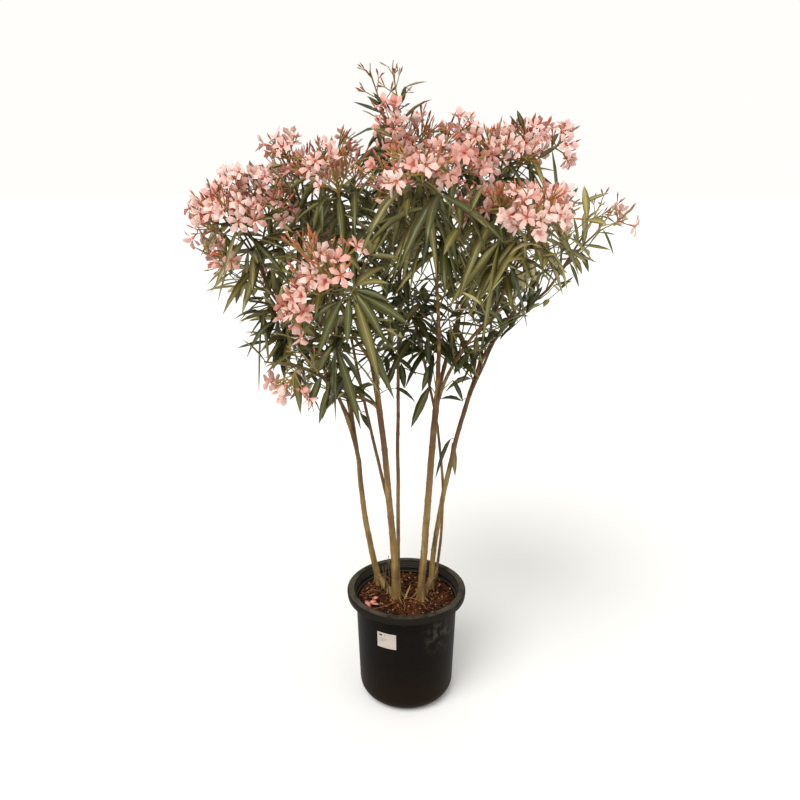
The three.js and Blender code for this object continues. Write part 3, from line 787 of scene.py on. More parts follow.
def flowerTemplate(lifted, uneven):  # how far its petals stand up, and how much they differ
    mouth, sunk = flowerShape["tube"], flowerShape["sunk"]
    corners, faces, parts = [], [], []
    for radius, level in ((flowerShape["foot"], 0), flowerShape["waist"], (flowerShape["throat"], mouth)):
        for k in range(5):
            turn = 2 * math.pi * (k + 0.5) / 5
            corners.append((radius * math.cos(turn), radius * math.sin(turn), level))
    corners.append((0, 0, sunk))
    for k in range(5):
        n = (k + 1) % 5
        faces += [(k, n, n + 5, k + 5), (k + 5, n + 5, n + 10, k + 10), (k + 10, n + 10, 15)]
        parts += [calyxPart, throatPart, throatPart]
    faces.append((4, 3, 2, 1, 0))
    parts.append(calyxPart)
    for k in range(5):
        turn = Matrix.Rotation(2 * math.pi * k / 5, 3, "Z")
        tilt = Matrix.Rotation(-lifted - uneven * math.sin(spiral * k + 9 * lifted), 3, "Y")
        first = len(corners)
        for spot in (*petalShape["outline"], petalShape["top"], petalShape["bottom"]):
            corners.append(tuple(turn @ (tilt @ Vector(spot) + Vector((0, 0, mouth)))))
        for i in range(6):
            j = (i + 1) % 6
            faces += [(first + j, first + 6, first + i), (first + 7, first + j, first + i)]
            parts += [heartPart if i == 5 else petalPart] * 2
    return np.array(corners), faces, parts


budShape = ((0.0014, 0), (0.0028, 0.012), (0.0033, 0.020), (0.0004, 0.0310))  # radius and level


def budTemplate():
    corners, faces, parts = [], [], []
    for i, (radius, level) in enumerate(budShape):
        for k in range(4):
            turn = math.pi / 2 * k + 0.35 * i
            corners.append((radius * math.cos(turn), radius * math.sin(turn), level))
    for i in range(3):
        for k in range(4):
            a, b = 4 * i + k, 4 * i + (k + 1) % 4
            faces.append((a, b, b + 4, a + 4))
            parts.append(0 if i == 0 else 1)
    faces += [(3, 2, 1, 0), (12, 13, 14, 15)]
    parts += [0, 1]
    return np.array(corners), faces, parts


openFlowers = [flowerTemplate(0.12, 0.10), flowerTemplate(-0.15, 0.22), flowerTemplate(0.42, 0.25),
               flowerTemplate(0.80, 0.18), flowerTemplate(0.20, 0.38)]
flowerOdds = (4, 3, 3, 2, 3)
bud = budTemplate()


def stood(corners, root, axis, turn, size):  # a template put at a root along an axis
    side, front = squareTo(axis)
    side, front = (side * math.cos(turn) + front * math.sin(turn),
                   front * math.cos(turn) - side * math.sin(turn))
    frameOf = np.array([side, axis.cross(side), axis])
    return corners * size @ frameOf + np.array(root)


# finishes of leaves, blossom and twigs, one plain colour each

def plain(name, color, roughness, **fixed):
    made = Finish(name, color, roughness, **fixed)
    made.roughness(roughness - 0.06 + 0.12 * made.grain(55, 2))
    return made.material


leafFinishes, leafTintNames = [], list(leafTints)
for name, (blade, rib, beneath) in leafTints.items():
    leafFinishes += [plain(name + "Blade", blade, 0.36), plain(name + "Midrib", rib, 0.45),
                     plain(name + "Underside", beneath, 0.65)]
blossomFinishes = []
for name, (petal, inner) in blossomTints.items():
    # PetalHeart: the darker inner part of the petal, partly its own colour and partly painted shade by the
    # throat
    blossomFinishes += [plain(name + "Petal", petal, 0.6), plain(name + "PetalHeart", inner, 0.6)]
blossomFinishes += [plain("coralThroat", "#d67f6b", 0.6), plain("rustCalyx", "#8f6e35", 0.6),
                    plain("redBud", "#bd6049", 0.5), plain("orangeBud", "#bd7a48", 0.5),
                    plain("wineBud", "#8a4633", 0.5), plain("olivePedicel", "#94783c", 0.6)]
throatFinish, calyxFinish, firstBud, pedicelFinish = 6, 7, 8, 11  # places in that list
twigFinishes = [plain("brownTwig", "#5d4529", 0.7), plain("greenTwig", "#716b35", 0.6)]
brown, green = 0, 1


# the crown's limits: heights, with its reach to the left and right there

crownLevels = [(0.930, -0.360, 0.150), (1.080, -0.470, 0.230), (1.250, -0.540, 0.425), (1.380, -0.562, 0.622),
               (1.500, -0.562, 0.610), (1.640, -0.420, 0.470), (1.778, -0.150, 0.170)]
crownShape = {"depth": 0.83, "middle": 0.010}


def inCrown(spot, margin=0.0):
    for (lowZ, lowLeft, lowRight), (highZ, highLeft, highRight) in zip(crownLevels, crownLevels[1:]):
        if lowZ <= spot.z <= highZ:
            share = (spot.z - lowZ) / (highZ - lowZ)
            left, right = lerp(lowLeft, highLeft, share) - margin, lerp(lowRight, highRight, share) + margin
            half = (right - left) / 2
            across = (spot.x - left) / half - 1
            back = (spot.y - crownShape["middle"]) / (half * crownShape["depth"])
            return across ** 2 + back ** 2 <= 1
    return False


def ownSpace(name, spot):  # nearer to its own mass's middle than to any other
    own = (spot - centres[name]).length
    return all((spot - other).length >= own for other in centres.values())


def seeded(seed):
    state = [seed * 48271]

    def roll():
        state[0] = state[0] * 16807 % 2147483647
        return state[0] / 2147483647

    return roll


# how each mass grows

shoots = {"count": 3, "girth": (0.0036, 0.0020), "whorlEvery": 0.038, "angles": (98, 55), "fan": (104, 84),
          "tries": ((0, 1), (0, 0.75), (30, 0.9), (-30, 0.6), (0, 0.4), (60, 0.3)),  # swing and share
          "bareEnd": 0.98, "leavesFrom": 0.12, "leavesOffHead": 0.02, "leavesToSpray": 0.5, "hosts": 0.7}
ownShoots = {"bulge": 0.45, "startBelow": 0.05, "leaves": (0.35, 0.95), "leafSizes": (1.1, 0.85)}
sideShoots = {"onShoots": (6, 0.1, 0.6), "onBough": (6, 0.5, 0.98),  # how many, first and last share
              "length": (0.11, 0.20), "angle": (32, 64), "girth": (0.0021, 0.0012), "rise": 0.25, "tries": 5,
              "overHeads": 0.03, "greenShare": 0.6, "leaves": (0.22, 0.97), "leafSize": (0.68, 0.95)}
# painted shade: shoots near the crown's axis or low in it take darker leaf tints (inner), and the outer ones
# take lighter tints (outer)
leafMix = {"inner": ("dark", "dark", "deep", "deep", "olive"), "innerReach": 0.22, "innerHeight": 1.22,
           "outer": ("olive", "olive", "light", "greyed", "deep"), "star": ("deep", "dark", "deep", "olive")}
headShape = {  # a head forks into branches, with open flowers round their ends and buds in the middle
    "branches": 5, "branch": (0.024, 0.055), "splay": (28, 70), "rise": 0.030, "apart": 0.028,
    "clearAt": 0.045, "clearReach": 0.060, "clearAbove": 0.012, "tints": (0, 0, 1, 1, 2), "sameTint": 0.6,
    "flowerSplay": (25, 95), "flowerStalk": (0.008, 0.026), "flowerSize": (0.88, 1.12), "tries": 9,
    "budSplay": (0, 55), "budStalk": (0.010, 0.044), "budSize": (0.5, 0.98), "budMiddle": 0.62,
    "wide": ("front_left", "front_low", "right_end", "left_end"), "wideBy": 0.025,
}
sprayShape = {"stalk": 0.075, "splay": (12, 52), "branch": (0.030, 0.012), "leaf": (0.045, 0.009),
              "tuft": 4, "tuftSplay": (5, 42), "budStalk": (0.003, 0.010), "budSize": (0.45, 0.8)}


class Mass:
    def __init__(self, name, seed, low, high):
        self.name = name
        self.roll = random.Random(seed * 101)
        self.leaves, self.blossom, self.twigs = Heap(), Heap(), Heap()
        self.low, self.high, self.heads = low, high, []
        self.share, self.missing, self.droop = leafy.get(name, leafyUsual)
        self.lift = -0.9 if name in hanging else 0.5

    def boxed(self, spot, margin=0.0):
        return all(l - margin <= c <= h + margin for l, c, h in zip(self.low, spot, self.high))

    def within(self, spot, margin=0.0):
        return self.boxed(spot, margin) and (inCrown(spot, 0.008) or spot.z < crownLevels[0][0])

    def clear(self, spot):  # leaves keep off the blossom and the space above it
        for base, middle, reach in self.heads:
            if (spot - middle).length < reach and spot.z > base.z + headShape["clearAbove"]:
                return False
        return True

    def twig(self, bow, first, last, girth, finish, sides=5):
        steps = max(int(bow.length() * (last - first) / 0.035), 2)
        shares = [lerp(first, last, i / steps) for i in range(steps + 1)]
        radii = [lerp(*girth, share) for share in shares]
        self.twigs.rod([bow.at(share) for share in shares], radii, sides, finish)

    def leaf(self, root, direction, length, width, sag, twist, tint, placed=False):
        tip = root + direction * length - up * (sag * length)
        middle = root + direction * (length / 2) - up * (sag * length / 4)
        if placed:
            fits = self.boxed(tip, 0.09) and self.boxed(middle, 0.04)
        else:
            fits = all(self.within(spot) and self.clear(spot) for spot in (tip, middle))
        if not fits:
            return False
        corners = leafCorners(root, direction, length, width, sag, twist)
        firstFinish = 3 * leafTintNames.index(tint)
        self.leaves.add(corners, leafFaces, [firstFinish + part for part in leafParts])
        return True

    def whorls(self, bow, first, last, girth, fan=False, size=1.0):  # threes of leaves along a shoot
        roll, end = self.roll, bow.at(last)
        size *= smallLeaved.get(self.name, 1)
        # painted shade: inner and low shoots take darker tints, and outer ones take lighter tints
        inner = end.xy.length < leafMix["innerReach"] or end.z < leafMix["innerHeight"]
        tint = roll.choice(leafMix["inner" if inner else "outer"])
        count = max(int(bow.length() * (last - first) / shoots["whorlEvery"]), 1)
        steep, flat = shoots["fan" if fan else "angles"]
        for level in range(count + 1):
            along = level / count
            share = lerp(first, last, along)
            angle = lerp(lerp(flat, steep, self.droop), flat, along)
            for n in range(3):
                around = 120 * (n + 0.5 * level + 0.25 * roll.random())
                if roll.random() < self.missing:
                    continue
                length = leafShape["length"] * size * pick(roll, *leafShape["lengths"])
                length *= lerp(1.0, 0.95 if fan else 0.68, along)
                width = leafShape["width"] * pick(roll, *leafShape["breadths"]) * min(1, size * 1.1)
                sag = lerp(0.85, 0.80 if fan else 0.15, along) * pick(roll, *leafShape["sags"]) * self.droop
                twist = leafShape["twist"] * (2 * roll.random() - 1)
                for swing, trim in leafShape["tries"]:
                    direction = splayed(bow.along(share), math.radians(angle), math.radians(around + swing))
                    root = bow.at(share) - direction * (0.4 * lerp(*girth, share))
                    if self.leaf(root, direction, length * trim, width, sag, twist, tint):
                        break

    def star(self, root, bearing, first, last, count, length):  # leaves spread like fingers, facing outwards
        roll, outward = self.roll, place(bearing, 1, 0)
        side = up.cross(outward)
        for n in range(count):
            angle = math.radians(lerp(first, last, (n + 0.6 * roll.random()) / count))
            lean = outward * pick(roll, -0.25, 0.25)
            way = (side * math.cos(angle) + up * math.sin(angle) + lean).normalized()
            foot, reach = root - outward * (0.006 * roll.random()), length * pick(roll, 0.8, 1.1)
            width, sag = leafShape["width"] * pick(roll, 0.85, 1.15), pick(roll, 0.20, 0.60)
            twist = facing(way, outward + up * 0.6) + 60 * (roll.random() - 0.5)
            self.leaf(foot, way, reach, width, sag, twist, roll.choice(leafMix["star"]), True)

    def singles(self, ways):  # leaves with a place of their own, each on a thin twig from the nearest shoot
        for root, tip, width, sag, tint in singleLeaves.get(self.name, ()):
            root, tip = place(*root), place(*tip)
            near = min((way.at(share / 40) for way in ways for share in range(3, 41)),
                       key=lambda spot: (spot - root).length)
            if (near - root).length > 0.008:
                bow = Bow(near, near.lerp(root, 0.5) + up * 0.008, root)
                self.twig(bow, 0, 1, (0.0015, 0.0009), green, 4)
            reach = (tip - root).length
            way = tip - root + up * (sag * reach)
            length, way = way.length, way.normalized()
            twist = facing(way, Vector((0.2, -1, 0.5))) + 40 * (self.roll.random() - 0.5)
            self.leaf(root, way, length, width, sag * reach / length, twist, tint, True)

    def flower(self, root, axis, tint, size):
        corners, faces, parts = self.roll.choices(openFlowers, flowerOdds)[0]
        finishes = [(2 * tint, 2 * tint + 1, throatFinish, calyxFinish)[part] for part in parts]
        self.blossom.add(stood(corners, root, axis, fullTurn * self.roll.random(), size), faces, finishes)

    def bud(self, root, axis, size, young=False):
        corners, faces, parts = bud
        tint = firstBud + self.roll.choice((2, 3, 2, 3, 0) if young else (0, 0, 1, 1, 2))
        finishes = [calyxFinish if part == 0 else tint for part in parts]
        self.blossom.add(stood(corners, root, axis, fullTurn * self.roll.random(), size), faces, finishes)

    def pedicel(self, start, end, radius=0.0018):
        middle = (start + end) / 2
        self.blossom.rod([start, middle, end], [radius * 1.3, radius, radius], 3, pedicelFinish)

    def head(self, base, axis, flowers, buds, size=1.0):
        roll, shape = self.roll, headShape
        axis = (axis + up * self.lift).normalized()
        self.heads.append((base, base + axis * (shape["clearAt"] * size), shape["clearReach"] * size))
        tint = roll.choice(shape["tints"])
        crown = base + axis * (shape["rise"] * size)
        self.pedicel(base - axis * 0.01, crown, 0.0024)
        forks = [(crown, axis)]
        for k in range(shape["branches"]):
            way = splayed(axis, math.radians(pick(roll, *shape["splay"])), spiral * k + roll.random())
            start = base.lerp(crown, lerp(0.15, 1, k / shape["branches"]))
            end = start + way * (pick(roll, *shape["branch"]) * size)
            self.pedicel(start, end, 0.0020)
            forks.append((end, way))
        mouths, margin = [], shape["wideBy"] if self.name in shape["wide"] else 0
        for attempt in range(flowers * shape["tries"]):
            if len(mouths) == flowers:
                break
            fork, way = forks[attempt % len(forks)]
            out = splayed(way, math.radians(pick(roll, *shape["flowerSplay"])), fullTurn * roll.random())
            root = fork + out * (pick(roll, *shape["flowerStalk"]) * size)
            face = (out * 1.2 + (root - base).normalized() + Vector((0, -0.12, 0.05))).normalized()
            mouth = root + face * 0.021
            if face.dot(axis) > shape["budMiddle"] and attempt % 3:  # buds keep the middle of the head
                continue
            if any((mouth - other).length < shape["apart"] for other in mouths):
                continue
            if not self.within(mouth + face * 0.006, margin) or not self.within(mouth + out * 0.012, margin):
                continue
            mouths.append(mouth)
            self.pedicel(fork, root)
            petals = tint if roll.random() < shape["sameTint"] else roll.choice((0, 1, 2))
            self.flower(root, face, petals, pick(roll, *shape["flowerSize"]))
        for k in range(buds):
            fork, way = forks[k % len(forks)]
            way = (way + axis).normalized()
            out = splayed(way, math.radians(pick(roll, *shape["budSplay"])), fullTurn * roll.random())
            root = fork + out * (pick(roll, *shape["budStalk"]) * size)
            if self.within(root + out * 0.020, 0.01):
                self.pedicel(fork, root, 0.0014)
                self.bud(root, (out + axis * 0.3).normalized(), pick(roll, *shape["budSize"]))

    def spray(self, base, axis, buds, size=1.0):  # a thin stalk with small tufts of buds
        roll, shape = self.roll, sprayShape
        axis = (axis + up * 0.3).normalized()
        stalk, count = shape["stalk"] * size, max(round(buds / shape["tuft"]), 2)
        self.heads.append((base, base + axis * (stalk / 2), stalk / 2))
        self.pedicel(base, base + axis * stalk, 0.0021)
        for k in range(count):
            start = base + axis * (stalk * (k + 1) / count)
            angle = math.radians(lerp(*shape["splay"], 1 - k / count))
            way = splayed(axis, angle, spiral * k + roll.random())
            end = start + way * (lerp(*shape["branch"], k / count) * size)
            self.pedicel(start, end, 0.0014)
            for n in range(shape["tuft"]):
                angle = math.radians(pick(roll, *shape["tuftSplay"]))
                out = splayed(way, angle, 1.57 * n + roll.random())
                root = end + out * pick(roll, *shape["budStalk"])
                if self.within(root + out * 0.02):
                    self.pedicel(end, root, 0.0008)
                    self.bud(root, out, pick(roll, *shape["budSize"]), True)
            if k < 2:
                length, width = shape["leaf"]
                self.leaf(start, splayed(axis, 0.9, spiral * k + 2), length * size, width, 0.1, 0, "olive")

    def sideShoot(self, parent, at, length, angle, turn, ceiling):
        roll = self.roll
        start, way = parent.at(at), splayed(parent.along(at), math.radians(angle), turn)
        tip = start + way * length + up * (sideShoots["rise"] * length)
        if not self.within(tip) or tip.z > ceiling or not self.clear(tip):
            return False
        bow = Bow(start, start + way * (length * 0.5), tip)
        skin = green if roll.random() < sideShoots["greenShare"] else brown
        self.twig(bow, 0, 1, sideShoots["girth"], skin, 4)
        self.whorls(bow, *sideShoots["leaves"], sideShoots["girth"], size=pick(roll, *sideShoots["leafSize"]))
        return True

    def pieces(self, *nodes):
        dress(self.leaves.piece("leaves_" + self.name), leafFinishes, "foliage", *nodes)
        dress(self.twigs.piece("twigs_" + self.name), twigFinishes, "bark", *nodes)
        if self.blossom.count:
            heads = self.blossom.piece("blossom_" + self.name, smooth=False)
            dress(heads, blossomFinishes, "foliage", *nodes)
        return len(self.leaves.faces) // len(leafFaces)


def growMass(name, seed):
    spread, rise = branches[name][4:]
    low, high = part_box("foliage_" + name)
    slack = Vector((0.01,) * 3)
    mass = Mass(name, seed, low - slack, high + slack)
    middle, bough = centres[name], limbs["bough_" + name]
    stem = stemBow(bough, middle)
    ruled, roll = seeded(seed), mass.roll
    mass.twig(stem, 0, 1, (growth["stem"] + 0.0003, growth["stem"]), brown, 7)
    grown, hosts = [], [stem]
    for k, (flowers, buds, headAt) in enumerate(bloom[name]):
        turn = 360 * (k + 0.6 * ruled()) / shoots["count"]
        out = spread * (0.85 + 0.3 * ruled())
        for swing, trim in shoots["tries"]:
            tip = middle + place(turn + swing, out * trim, rise)
            if inCrown(tip) and ownSpace(name, tip):
                break
        else:
            continue
        fork = stem.at(1)
        bend = (fork + stem.along(1) * ((tip - fork).length * growth["shootBends"])).lerp(tip, 0.15)
        bow = Bow(fork, bend, tip)
        last = headAt or shoots["bareEnd"]
        hosts.append(bow.until(min(1, last / shoots["hosts"])))
        mass.twig(bow, 0, last, shoots["girth"], brown, 6)
        if headAt and flowers:
            mass.head(bow.at(last), bow.along(last), flowers, buds)
        elif headAt:
            mass.spray(bow.at(last), bow.along(last), buds)
        leavesEnd = last - shoots["leavesOffHead"] if flowers or not headAt else shoots["leavesToSpray"]
        grown.append((bow, shoots["leavesFrom"], leavesEnd, shoots["girth"], flowers > 0, 1.0))
    bare = [(*tip[:3], 0, 0, 1) for tip in (*fans.get(name, ()), *stars.get(name, ()))]
    for bearing, reach, height, flowers, buds, size in extraHeads.get(name, []) + bare:
        target = place(bearing, reach, height)
        starts = [(host, share / 10) for host in hosts for share in range(1, 8)]
        aim = target - up * ownShoots["startBelow"]
        host, share = min(starts, key=lambda pair: (pair[0].at(pair[1]) - aim).length)
        start = host.at(share)
        way = (host.along(share) + (target - start).normalized()).normalized()
        bow = Bow(start, start + way * ((target - start).length * ownShoots["bulge"]), target)
        mass.twig(bow, 0, 1, sideShoots["girth"], green, 5)
        if flowers:
            mass.head(target, bow.along(1), flowers, buds, size)
        elif buds:
            mass.spray(target, bow.along(1), buds, size)
        fan, leafSize = flowers > 0 or not buds, ownShoots["leafSizes"][1 if buds else 0]
        grown.append((bow, *ownShoots["leaves"], sideShoots["girth"], fan, leafSize))
    for bearing, reach, height, *rest in stars.get(name, ()):
        mass.star(place(bearing, reach, height), bearing, *rest)
    mass.singles(hosts + [shoot[0] for shoot in grown])
    for shoot in grown:
        mass.whorls(*shoot)
    ceiling = min([head[0].z for head in mass.heads] or [math.inf]) + sideShoots["overHeads"]
    for parents, (count, first, last) in ((hosts, sideShoots["onShoots"]), ([bough], sideShoots["onBough"])):
        for k in range(round(count * mass.share)):
            for attempt in range(sideShoots["tries"]):
                length, at = pick(roll, *sideShoots["length"]), pick(roll, first, last)
                angle, turn = pick(roll, *sideShoots["angle"]), fullTurn * roll.random()
                if mass.sideShoot(parents[k % len(parents)], at, length, angle, turn, ceiling):
                    break
    return mass.pieces("foliage_" + name)


leafCount = sum(growMass(name, index + 1) for index, name in enumerate(branches))

lowMass = Mass("low", 77, Vector((-0.32, -0.25, 0.70)), Vector((0.40, 0.25, 1.20)))
lowMass.singles([limbs[name] for name in canes] + [stem])
leafCount += lowMass.pieces()
print("the crown has grown", leafCount, "leaves")


# soil

def soilPiece():
    inset = wall + 0.0004
    outline = roundFoot(inset, 5) + [(potRadius(z) - inset, z) for z in (0.10, 0.20, groundLevel - 0.004)]
    made = turned("rootBall", outline, 96)
    bpy.ops.object.mode_set(mode="EDIT")
    bpy.ops.mesh.select_all(action="DESELECT")
    bpy.ops.object.mode_set(mode="OBJECT")
    top = max(made.data.polygons, key=lambda face: face.center.z)
    top.select = True
    bpy.ops.object.mode_set(mode="EDIT")
    bpy.context.tool_settings.mesh_select_mode = (False, False, True)
    step = (outline[-1][0] - 0.004) / soilShape["rings"]
    for ring in range(soilShape["rings"]):
        bpy.ops.mesh.inset(thickness=step)
    bpy.ops.mesh.poke()
    bpy.ops.object.mode_set(mode="OBJECT")
    for corner in made.data.vertices:
        if corner.co.z > groundLevel - 0.006 and corner.co.xy.length < outline[-1][0] - step * 0.5:
            corner.co.z = soilHeight(corner.co.x, corner.co.y)
    bpy.ops.object.shade_smooth()
    return made


def soilFinish():
    made = Finish("barkMix", "#3c1f10", 0.95, Specular_IOR_Level=0.1)
    crumbs = made.node("ShaderNodeTexVoronoi", inputs={"Vector": made.spots(), "Scale": 190})
    patches, fine = made.grain(38, 4), made.grain(330, 3)
    earth = made.mix(made.between(patches, 0.35, 0.7), "#21100a", "#522c16")
    made.color(made.mix(made.between(fine, 0.6, 0.72) * 0.6, earth, "#8a6034"))
    made.bump(crumbs + fine, 0.003, 0.9)
    return made.material


litter = {"chip": (0.003, 0.010), "chipReach": 0.141, "fibre": (0.012, 0.035), "fibreReach": 0.132,
          "fibreEdge": 0.140, "fibreThick": 0.0005}


def litterPiece():
    roll, heap = random.Random(7), Heap()
    for k in range(soilShape["chips"]):
        reach, bearing = litter["chipReach"] * math.sqrt(roll.random()), 360 * roll.random()
        spot = place(bearing, reach, 0)
        size = lerp(*litter["chip"], roll.random() ** 2.2)
        half = Vector((size, size * pick(roll, 0.3, 0.7), size * pick(roll, 0.1, 0.35))) / 2
        spin = Matrix.Rotation(fullTurn * roll.random(), 3, "Z")
        spin = spin @ Matrix.Rotation(roll.gauss(0, 0.45), 3, "X")
        spin = spin @ Matrix.Rotation(roll.gauss(0, 0.35), 3, "Y")
        spot.z = soilHeight(spot.x, spot.y) + half.z * 0.5
        corners = []
        for i in range(8):
            sign = Vector((1 if i & 1 else -1, 1 if i & 2 else -1, 1 if i & 4 else -1))
            jitter = Matrix.Diagonal([pick(roll, 0.65, 1.1) for axis in range(3)])
            corners.append(spot + spin @ (jitter @ Vector(h * s for h, s in zip(half, sign))))
        faces = [(0, 2, 3, 1), (4, 5, 7, 6), (0, 1, 5, 4), (2, 6, 7, 3), (0, 4, 6, 2), (1, 3, 7, 5)]
        tint = roll.choices((0, 1, 2, 3), (5, 5, 2.5, 0.6))[0]
        heap.add(corners, faces, [tint] * 6)
    for k in range(soilShape["fibres"]):
        start = place(360 * roll.random(), litter["fibreReach"] * math.sqrt(roll.random()), 0)
        way = place(360 * roll.random(), pick(roll, *litter["fibre"]), 0)
        bend = place(360 * roll.random(), 0.006, 0)
        spots = []
        for i in range(5):
            spot = start + way * (i / 4 - 0.5) + bend * math.sin(math.pi * i / 4)
            if spot.xy.length > litter["fibreEdge"]:
                spot = spot * (litter["fibreEdge"] / spot.xy.length)
            spot.z = soilHeight(spot.x, spot.y) + 0.0022 + 0.002 * math.sin(math.pi * i / 4)
            spots.append(spot)
        heap.rod(spots, [litter["fibreThick"]] * 5, 3, roll.choice((1, 2, 2)))
    return heap.piece("barkLitter", smooth=False)


rootArms = {  # stout arms above the soil: from a cane's foot to another cane, and how high they join it
    "left": ("cane_centre", "cane_left", 0.034, (0.0125, 0.0090)),
    "right": ("cane_main", "cane_right", 0.038, (0.0105, 0.0075)),
    "upright": ("cane_centre", "cane_upright", 0.030, (0.0130, 0.0070)),
    "slender": ("cane_right", "cane_slender", 0.045, (0.0070, 0.0042)),
    "knob": ("cane_centre", "cane_centre", 0.060, (0.0175, 0.0106)),
    "heel": ("cane_main", "cane_main", 0.048, (0.0160, 0.0108)),
}
deadTwigs = [  # foot, lean and height of the thin dead twigs by the left arm
    (-0.052, 0.000, -0.020, 0.006, 0.075), (-0.064, 0.012, 0.004, 0.008, 0.095),
    (-0.040, 0.024, -0.014, 0.012, 0.115), (0.062, 0.020, 0.022, 0.010, 0.040),
    (0.070, 0.036, 0.026, 0.008, 0.055), (-0.060, 0.020, -0.012, 0.010, 0.085),
    (-0.066, 0.040, 0.006, 0.012, 0.070), (-0.050, 0.030, -0.006, 0.020, 0.100),
    (-0.045, 0.012, 0.008, 0.010, 0.060), (-0.072, 0.052, -0.020, 0.000, 0.050),
    (0.083, 0.052, 0.016, 0.012, 0.048),
]
dryStrips = [  # curved strips of dry leaf on the soil: start, middle with its lift, end
    ((-0.097, -0.068), (-0.058, -0.074, 0.006), (-0.026, -0.030)),
    ((-0.012, -0.022), (0.028, -0.020, 0.011), (0.060, -0.074)),
    ((-0.010, -0.026), (-0.002, -0.050, 0.004), (-0.006, -0.080)),
    ((-0.118, 0.028), (-0.098, 0.030, 0.006), (-0.082, 0.024)),
]
dryLeaves = [  # root, direction, length, width and sag
    ((-0.008, -0.022), (0.42, 0.1, 0.9), 0.050, 0.0075, -0.1),
    ((-0.112, 0.004), (1, 0.5, 0.1), 0.030, 0.0070, 0.1),
]
fallenPetals = [(-0.104, -0.044, 20), (-0.092, -0.022, 80), (-0.086, -0.056, 150), (-0.110, -0.058, 240)]
petalLies = {"size": 1.25, "lift": -0.0186}


def onSoil(x, y, lift=0.0):
    return Vector((x, y, soilHeight(x, y) + lift))


def looseBits():  # dead twigs, strips and dry leaves between the canes
    heap = Heap()
    for x, y, leanX, leanY, height in deadTwigs:
        foot = onSoil(x, y, -0.002)
        spots = [foot + Vector((leanX * s * s, leanY * s, height * s)) for s in (0, 0.3, 0.65, 1)]
        heap.rod(spots, [0.0019, 0.0016, 0.0013, 0.0010], 5, 0)
    for start, (x, y, lift), end in dryStrips:
        curve = Bow(onSoil(*start, 0.001), onSoil(x, y, 2 * lift), onSoil(*end, 0.001))
        heap.rod([curve.at(i / 10) for i in range(11)], [0.0009] * 10 + [0.0005], 5, 1)
    for root, way, length, width, sag in dryLeaves:
        corners = leafCorners(onSoil(*root), Vector(way).normalized(), length, width, sag, 25)
        heap.add(corners, leafFaces, [2] * len(leafFaces))
    return heap.piece("looseBits")


def petalPiece():
    first, middle, last = 16, 22, 24  # where the first petal's corners stand in a flower
    corners, allFaces = openFlowers[0][:2]
    own = [face for face in allFaces if first <= min(face) and max(face) < last]
    faces = [[corner - first for corner in face] for face in own]
    heap = Heap()
    for x, y, turn in fallenPetals:
        lying = up, math.radians(turn), petalLies["size"]
        petal = stood(corners[first:last], onSoil(x, y, petalLies["lift"]), *lying)
        aside = stood(corners[middle:middle + 1], (0, 0, 0), *lying) * (1, 1, 0)
        heap.add(petal - aside, faces, [0] * len(faces))
    return heap.piece("fallenPetals")


rootStrands = {"each": 9, "rise": (0.010, 0.050), "reach": (1.8, 3.8), "girth": (0.30, 0.22), "edge": 0.134}


def strandPiece():  # thin roots that run down the foot of each cane and into the soil
    roll, heap = random.Random(31), Heap()
    for name, cane in canes.items():
        girth = cane["girth"][0]
        foot = place(*cane["foot"], groundLevel)
        for k in range(rootStrands["each"]):
            out = place(360 * (k + 0.7 * roll.random()) / rootStrands["each"], 1, 0)
            spot = limbs[name].atHeight(groundLevel + pick(roll, *rootStrands["rise"]))
            end = foot + out * (girth * pick(roll, *rootStrands["reach"]))
            end = end * min(1, rootStrands["edge"] / end.xy.length)
            end.z = soilHeight(end.x, end.y) - 0.002
            curve = Bow(spot + out * (girth * 0.85), foot + out * (girth * 1.25) + up * 0.002, end)
            shares = [i / 6 for i in range(7)]
            radii = [girth * lerp(*rootStrands["girth"], share) * (1 - 0.6 * share ** 3) for share in shares]
            heap.rod([curve.at(share) for share in shares], radii, 6, 0)
    return heap.piece("rootStrands")


dress(soilPiece(), [soilFinish()], "soil", "soil")
dress(strandPiece(), [tanBark], "bark")
chipFinishes = [plain("darkChip", "#211008", 0.9, Specular_IOR_Level=0.1),
                plain("brownChip", "#5a331a", 0.9, Specular_IOR_Level=0.1),
                plain("rustChip", "#8b5833", 0.85), plain("paleChip", "#b59a78", 0.85)]
dress(litterPiece(), chipFinishes, "soil")
bitFinishes = [plain("deadTwig", "#5f4c33", 0.8), plain("dryStrip", "#966338", 0.7),
               plain("dryLeaf", "#a68b52", 0.7)]
dress(looseBits(), bitFinishes, "soil")
dress(petalPiece(), blossomFinishes[5:6], "foliage")
for index, (name, (origin, goal, joins, girth)) in enumerate(rootArms.items()):
    foot = place(*canes[origin]["foot"], groundLevel - 0.004)
    joint = limbs[goal].atHeight(groundLevel + joins)
    arm = Bow(foot, foot.lerp(joint, 0.55) - up * (joins * 0.25), joint)
    dress(barkTube("rootArm_" + name, arm, partial(lerp, *girth), 0, 6, index + 60), [tanBark], "bark")
print("the soil and its litter are in")


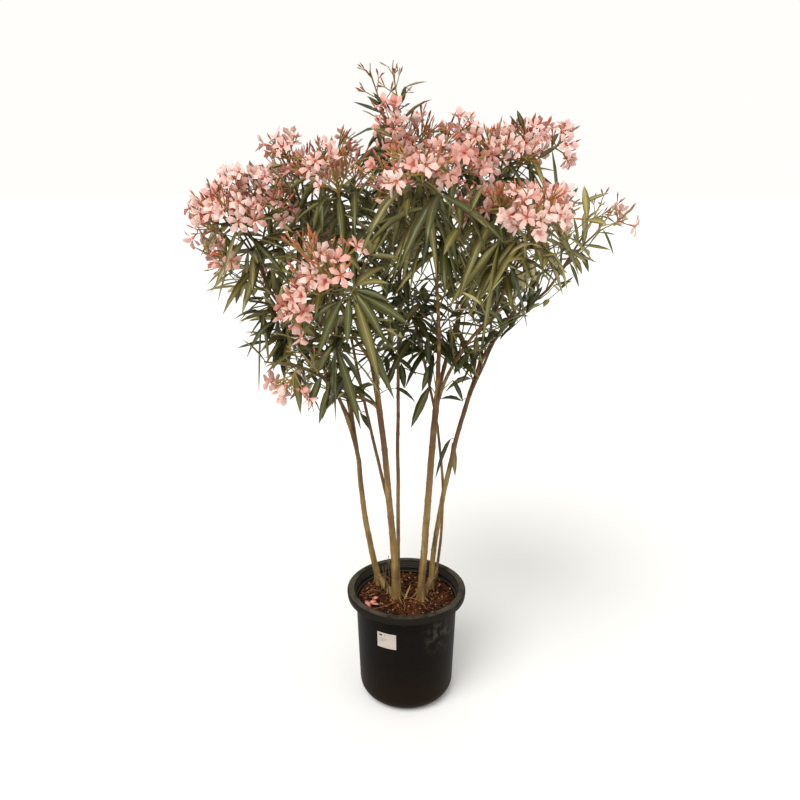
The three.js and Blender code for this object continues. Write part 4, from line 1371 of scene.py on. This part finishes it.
# label: a blank sheet with a few plain faint lines

labelShape = {"width": 0.058, "height": 0.049, "thick": 0.0008, "bearing": 247, "middle": 0.2490,
              "gap": 0.0003, "inkThick": 0.0001}
labelLines = [  # left, low, width and height of each mark, from the sheet's middle
    (-0.0225, 0.0135, 0.0095, 0.0058), (-0.0070, 0.0140, 0.0030, 0.0030), (-0.0200, 0.0050, 0.0230, 0.0008),
    (-0.0200, 0.0010, 0.0190, 0.0007), (-0.0200, -0.0030, 0.0120, 0.0007),
]


def onPot(x, z, proud):  # a point on the pot's side, under the label
    height = labelShape["middle"] + z
    radius = potRadius(height) + labelShape["gap"] + proud
    return place(labelShape["bearing"] + math.degrees(x / radius), radius, height)


def sheetPiece(name, left, low, width, height, inner, outer, columns):
    deselectAll()
    bpy.ops.mesh.primitive_cube_add(size=1)
    made = bpy.context.object
    made.name = name
    bpy.ops.object.mode_set(mode="EDIT")
    bpy.ops.mesh.select_all(action="SELECT")
    bpy.ops.mesh.subdivide(number_cuts=columns)
    bpy.ops.object.mode_set(mode="OBJECT")
    for corner in made.data.vertices:
        x, y, z = corner.co
        corner.co = onPot(left + (x + 0.5) * width, low + (z + 0.5) * height, lerp(outer, inner, y + 0.5))
    return made


def paperFinish():
    made = Finish("labelFilm", "#c8bdb2", 0.6)
    made.color(made.mix(made.between(made.grain(70, 3), 0.45, 0.7) * 0.5, "#b8ada2", "#a89c90"))
    made.roughness(0.5 + 0.2 * made.grain(160, 2))
    return made.material


width, height, thick = labelShape["width"], labelShape["height"], labelShape["thick"]
sheet = sheetPiece("labelSheet", -width / 2, -height / 2, width, height, 0, thick, 7)
dress(sheet, [paperFinish()], "label", "pot_label")
inked = thick * 0.5, thick + labelShape["inkThick"], 2
marks = [sheetPiece("labelMark", *line, *inked) for line in labelLines]
deselectAll()
for mark in marks:
    mark.select_set(True)
bpy.context.view_layer.objects.active = marks[0]
bpy.ops.object.join()
dress(marks[0], [plain("greyInk", "#3c3834", 0.7)], "label")
print("the label is on")
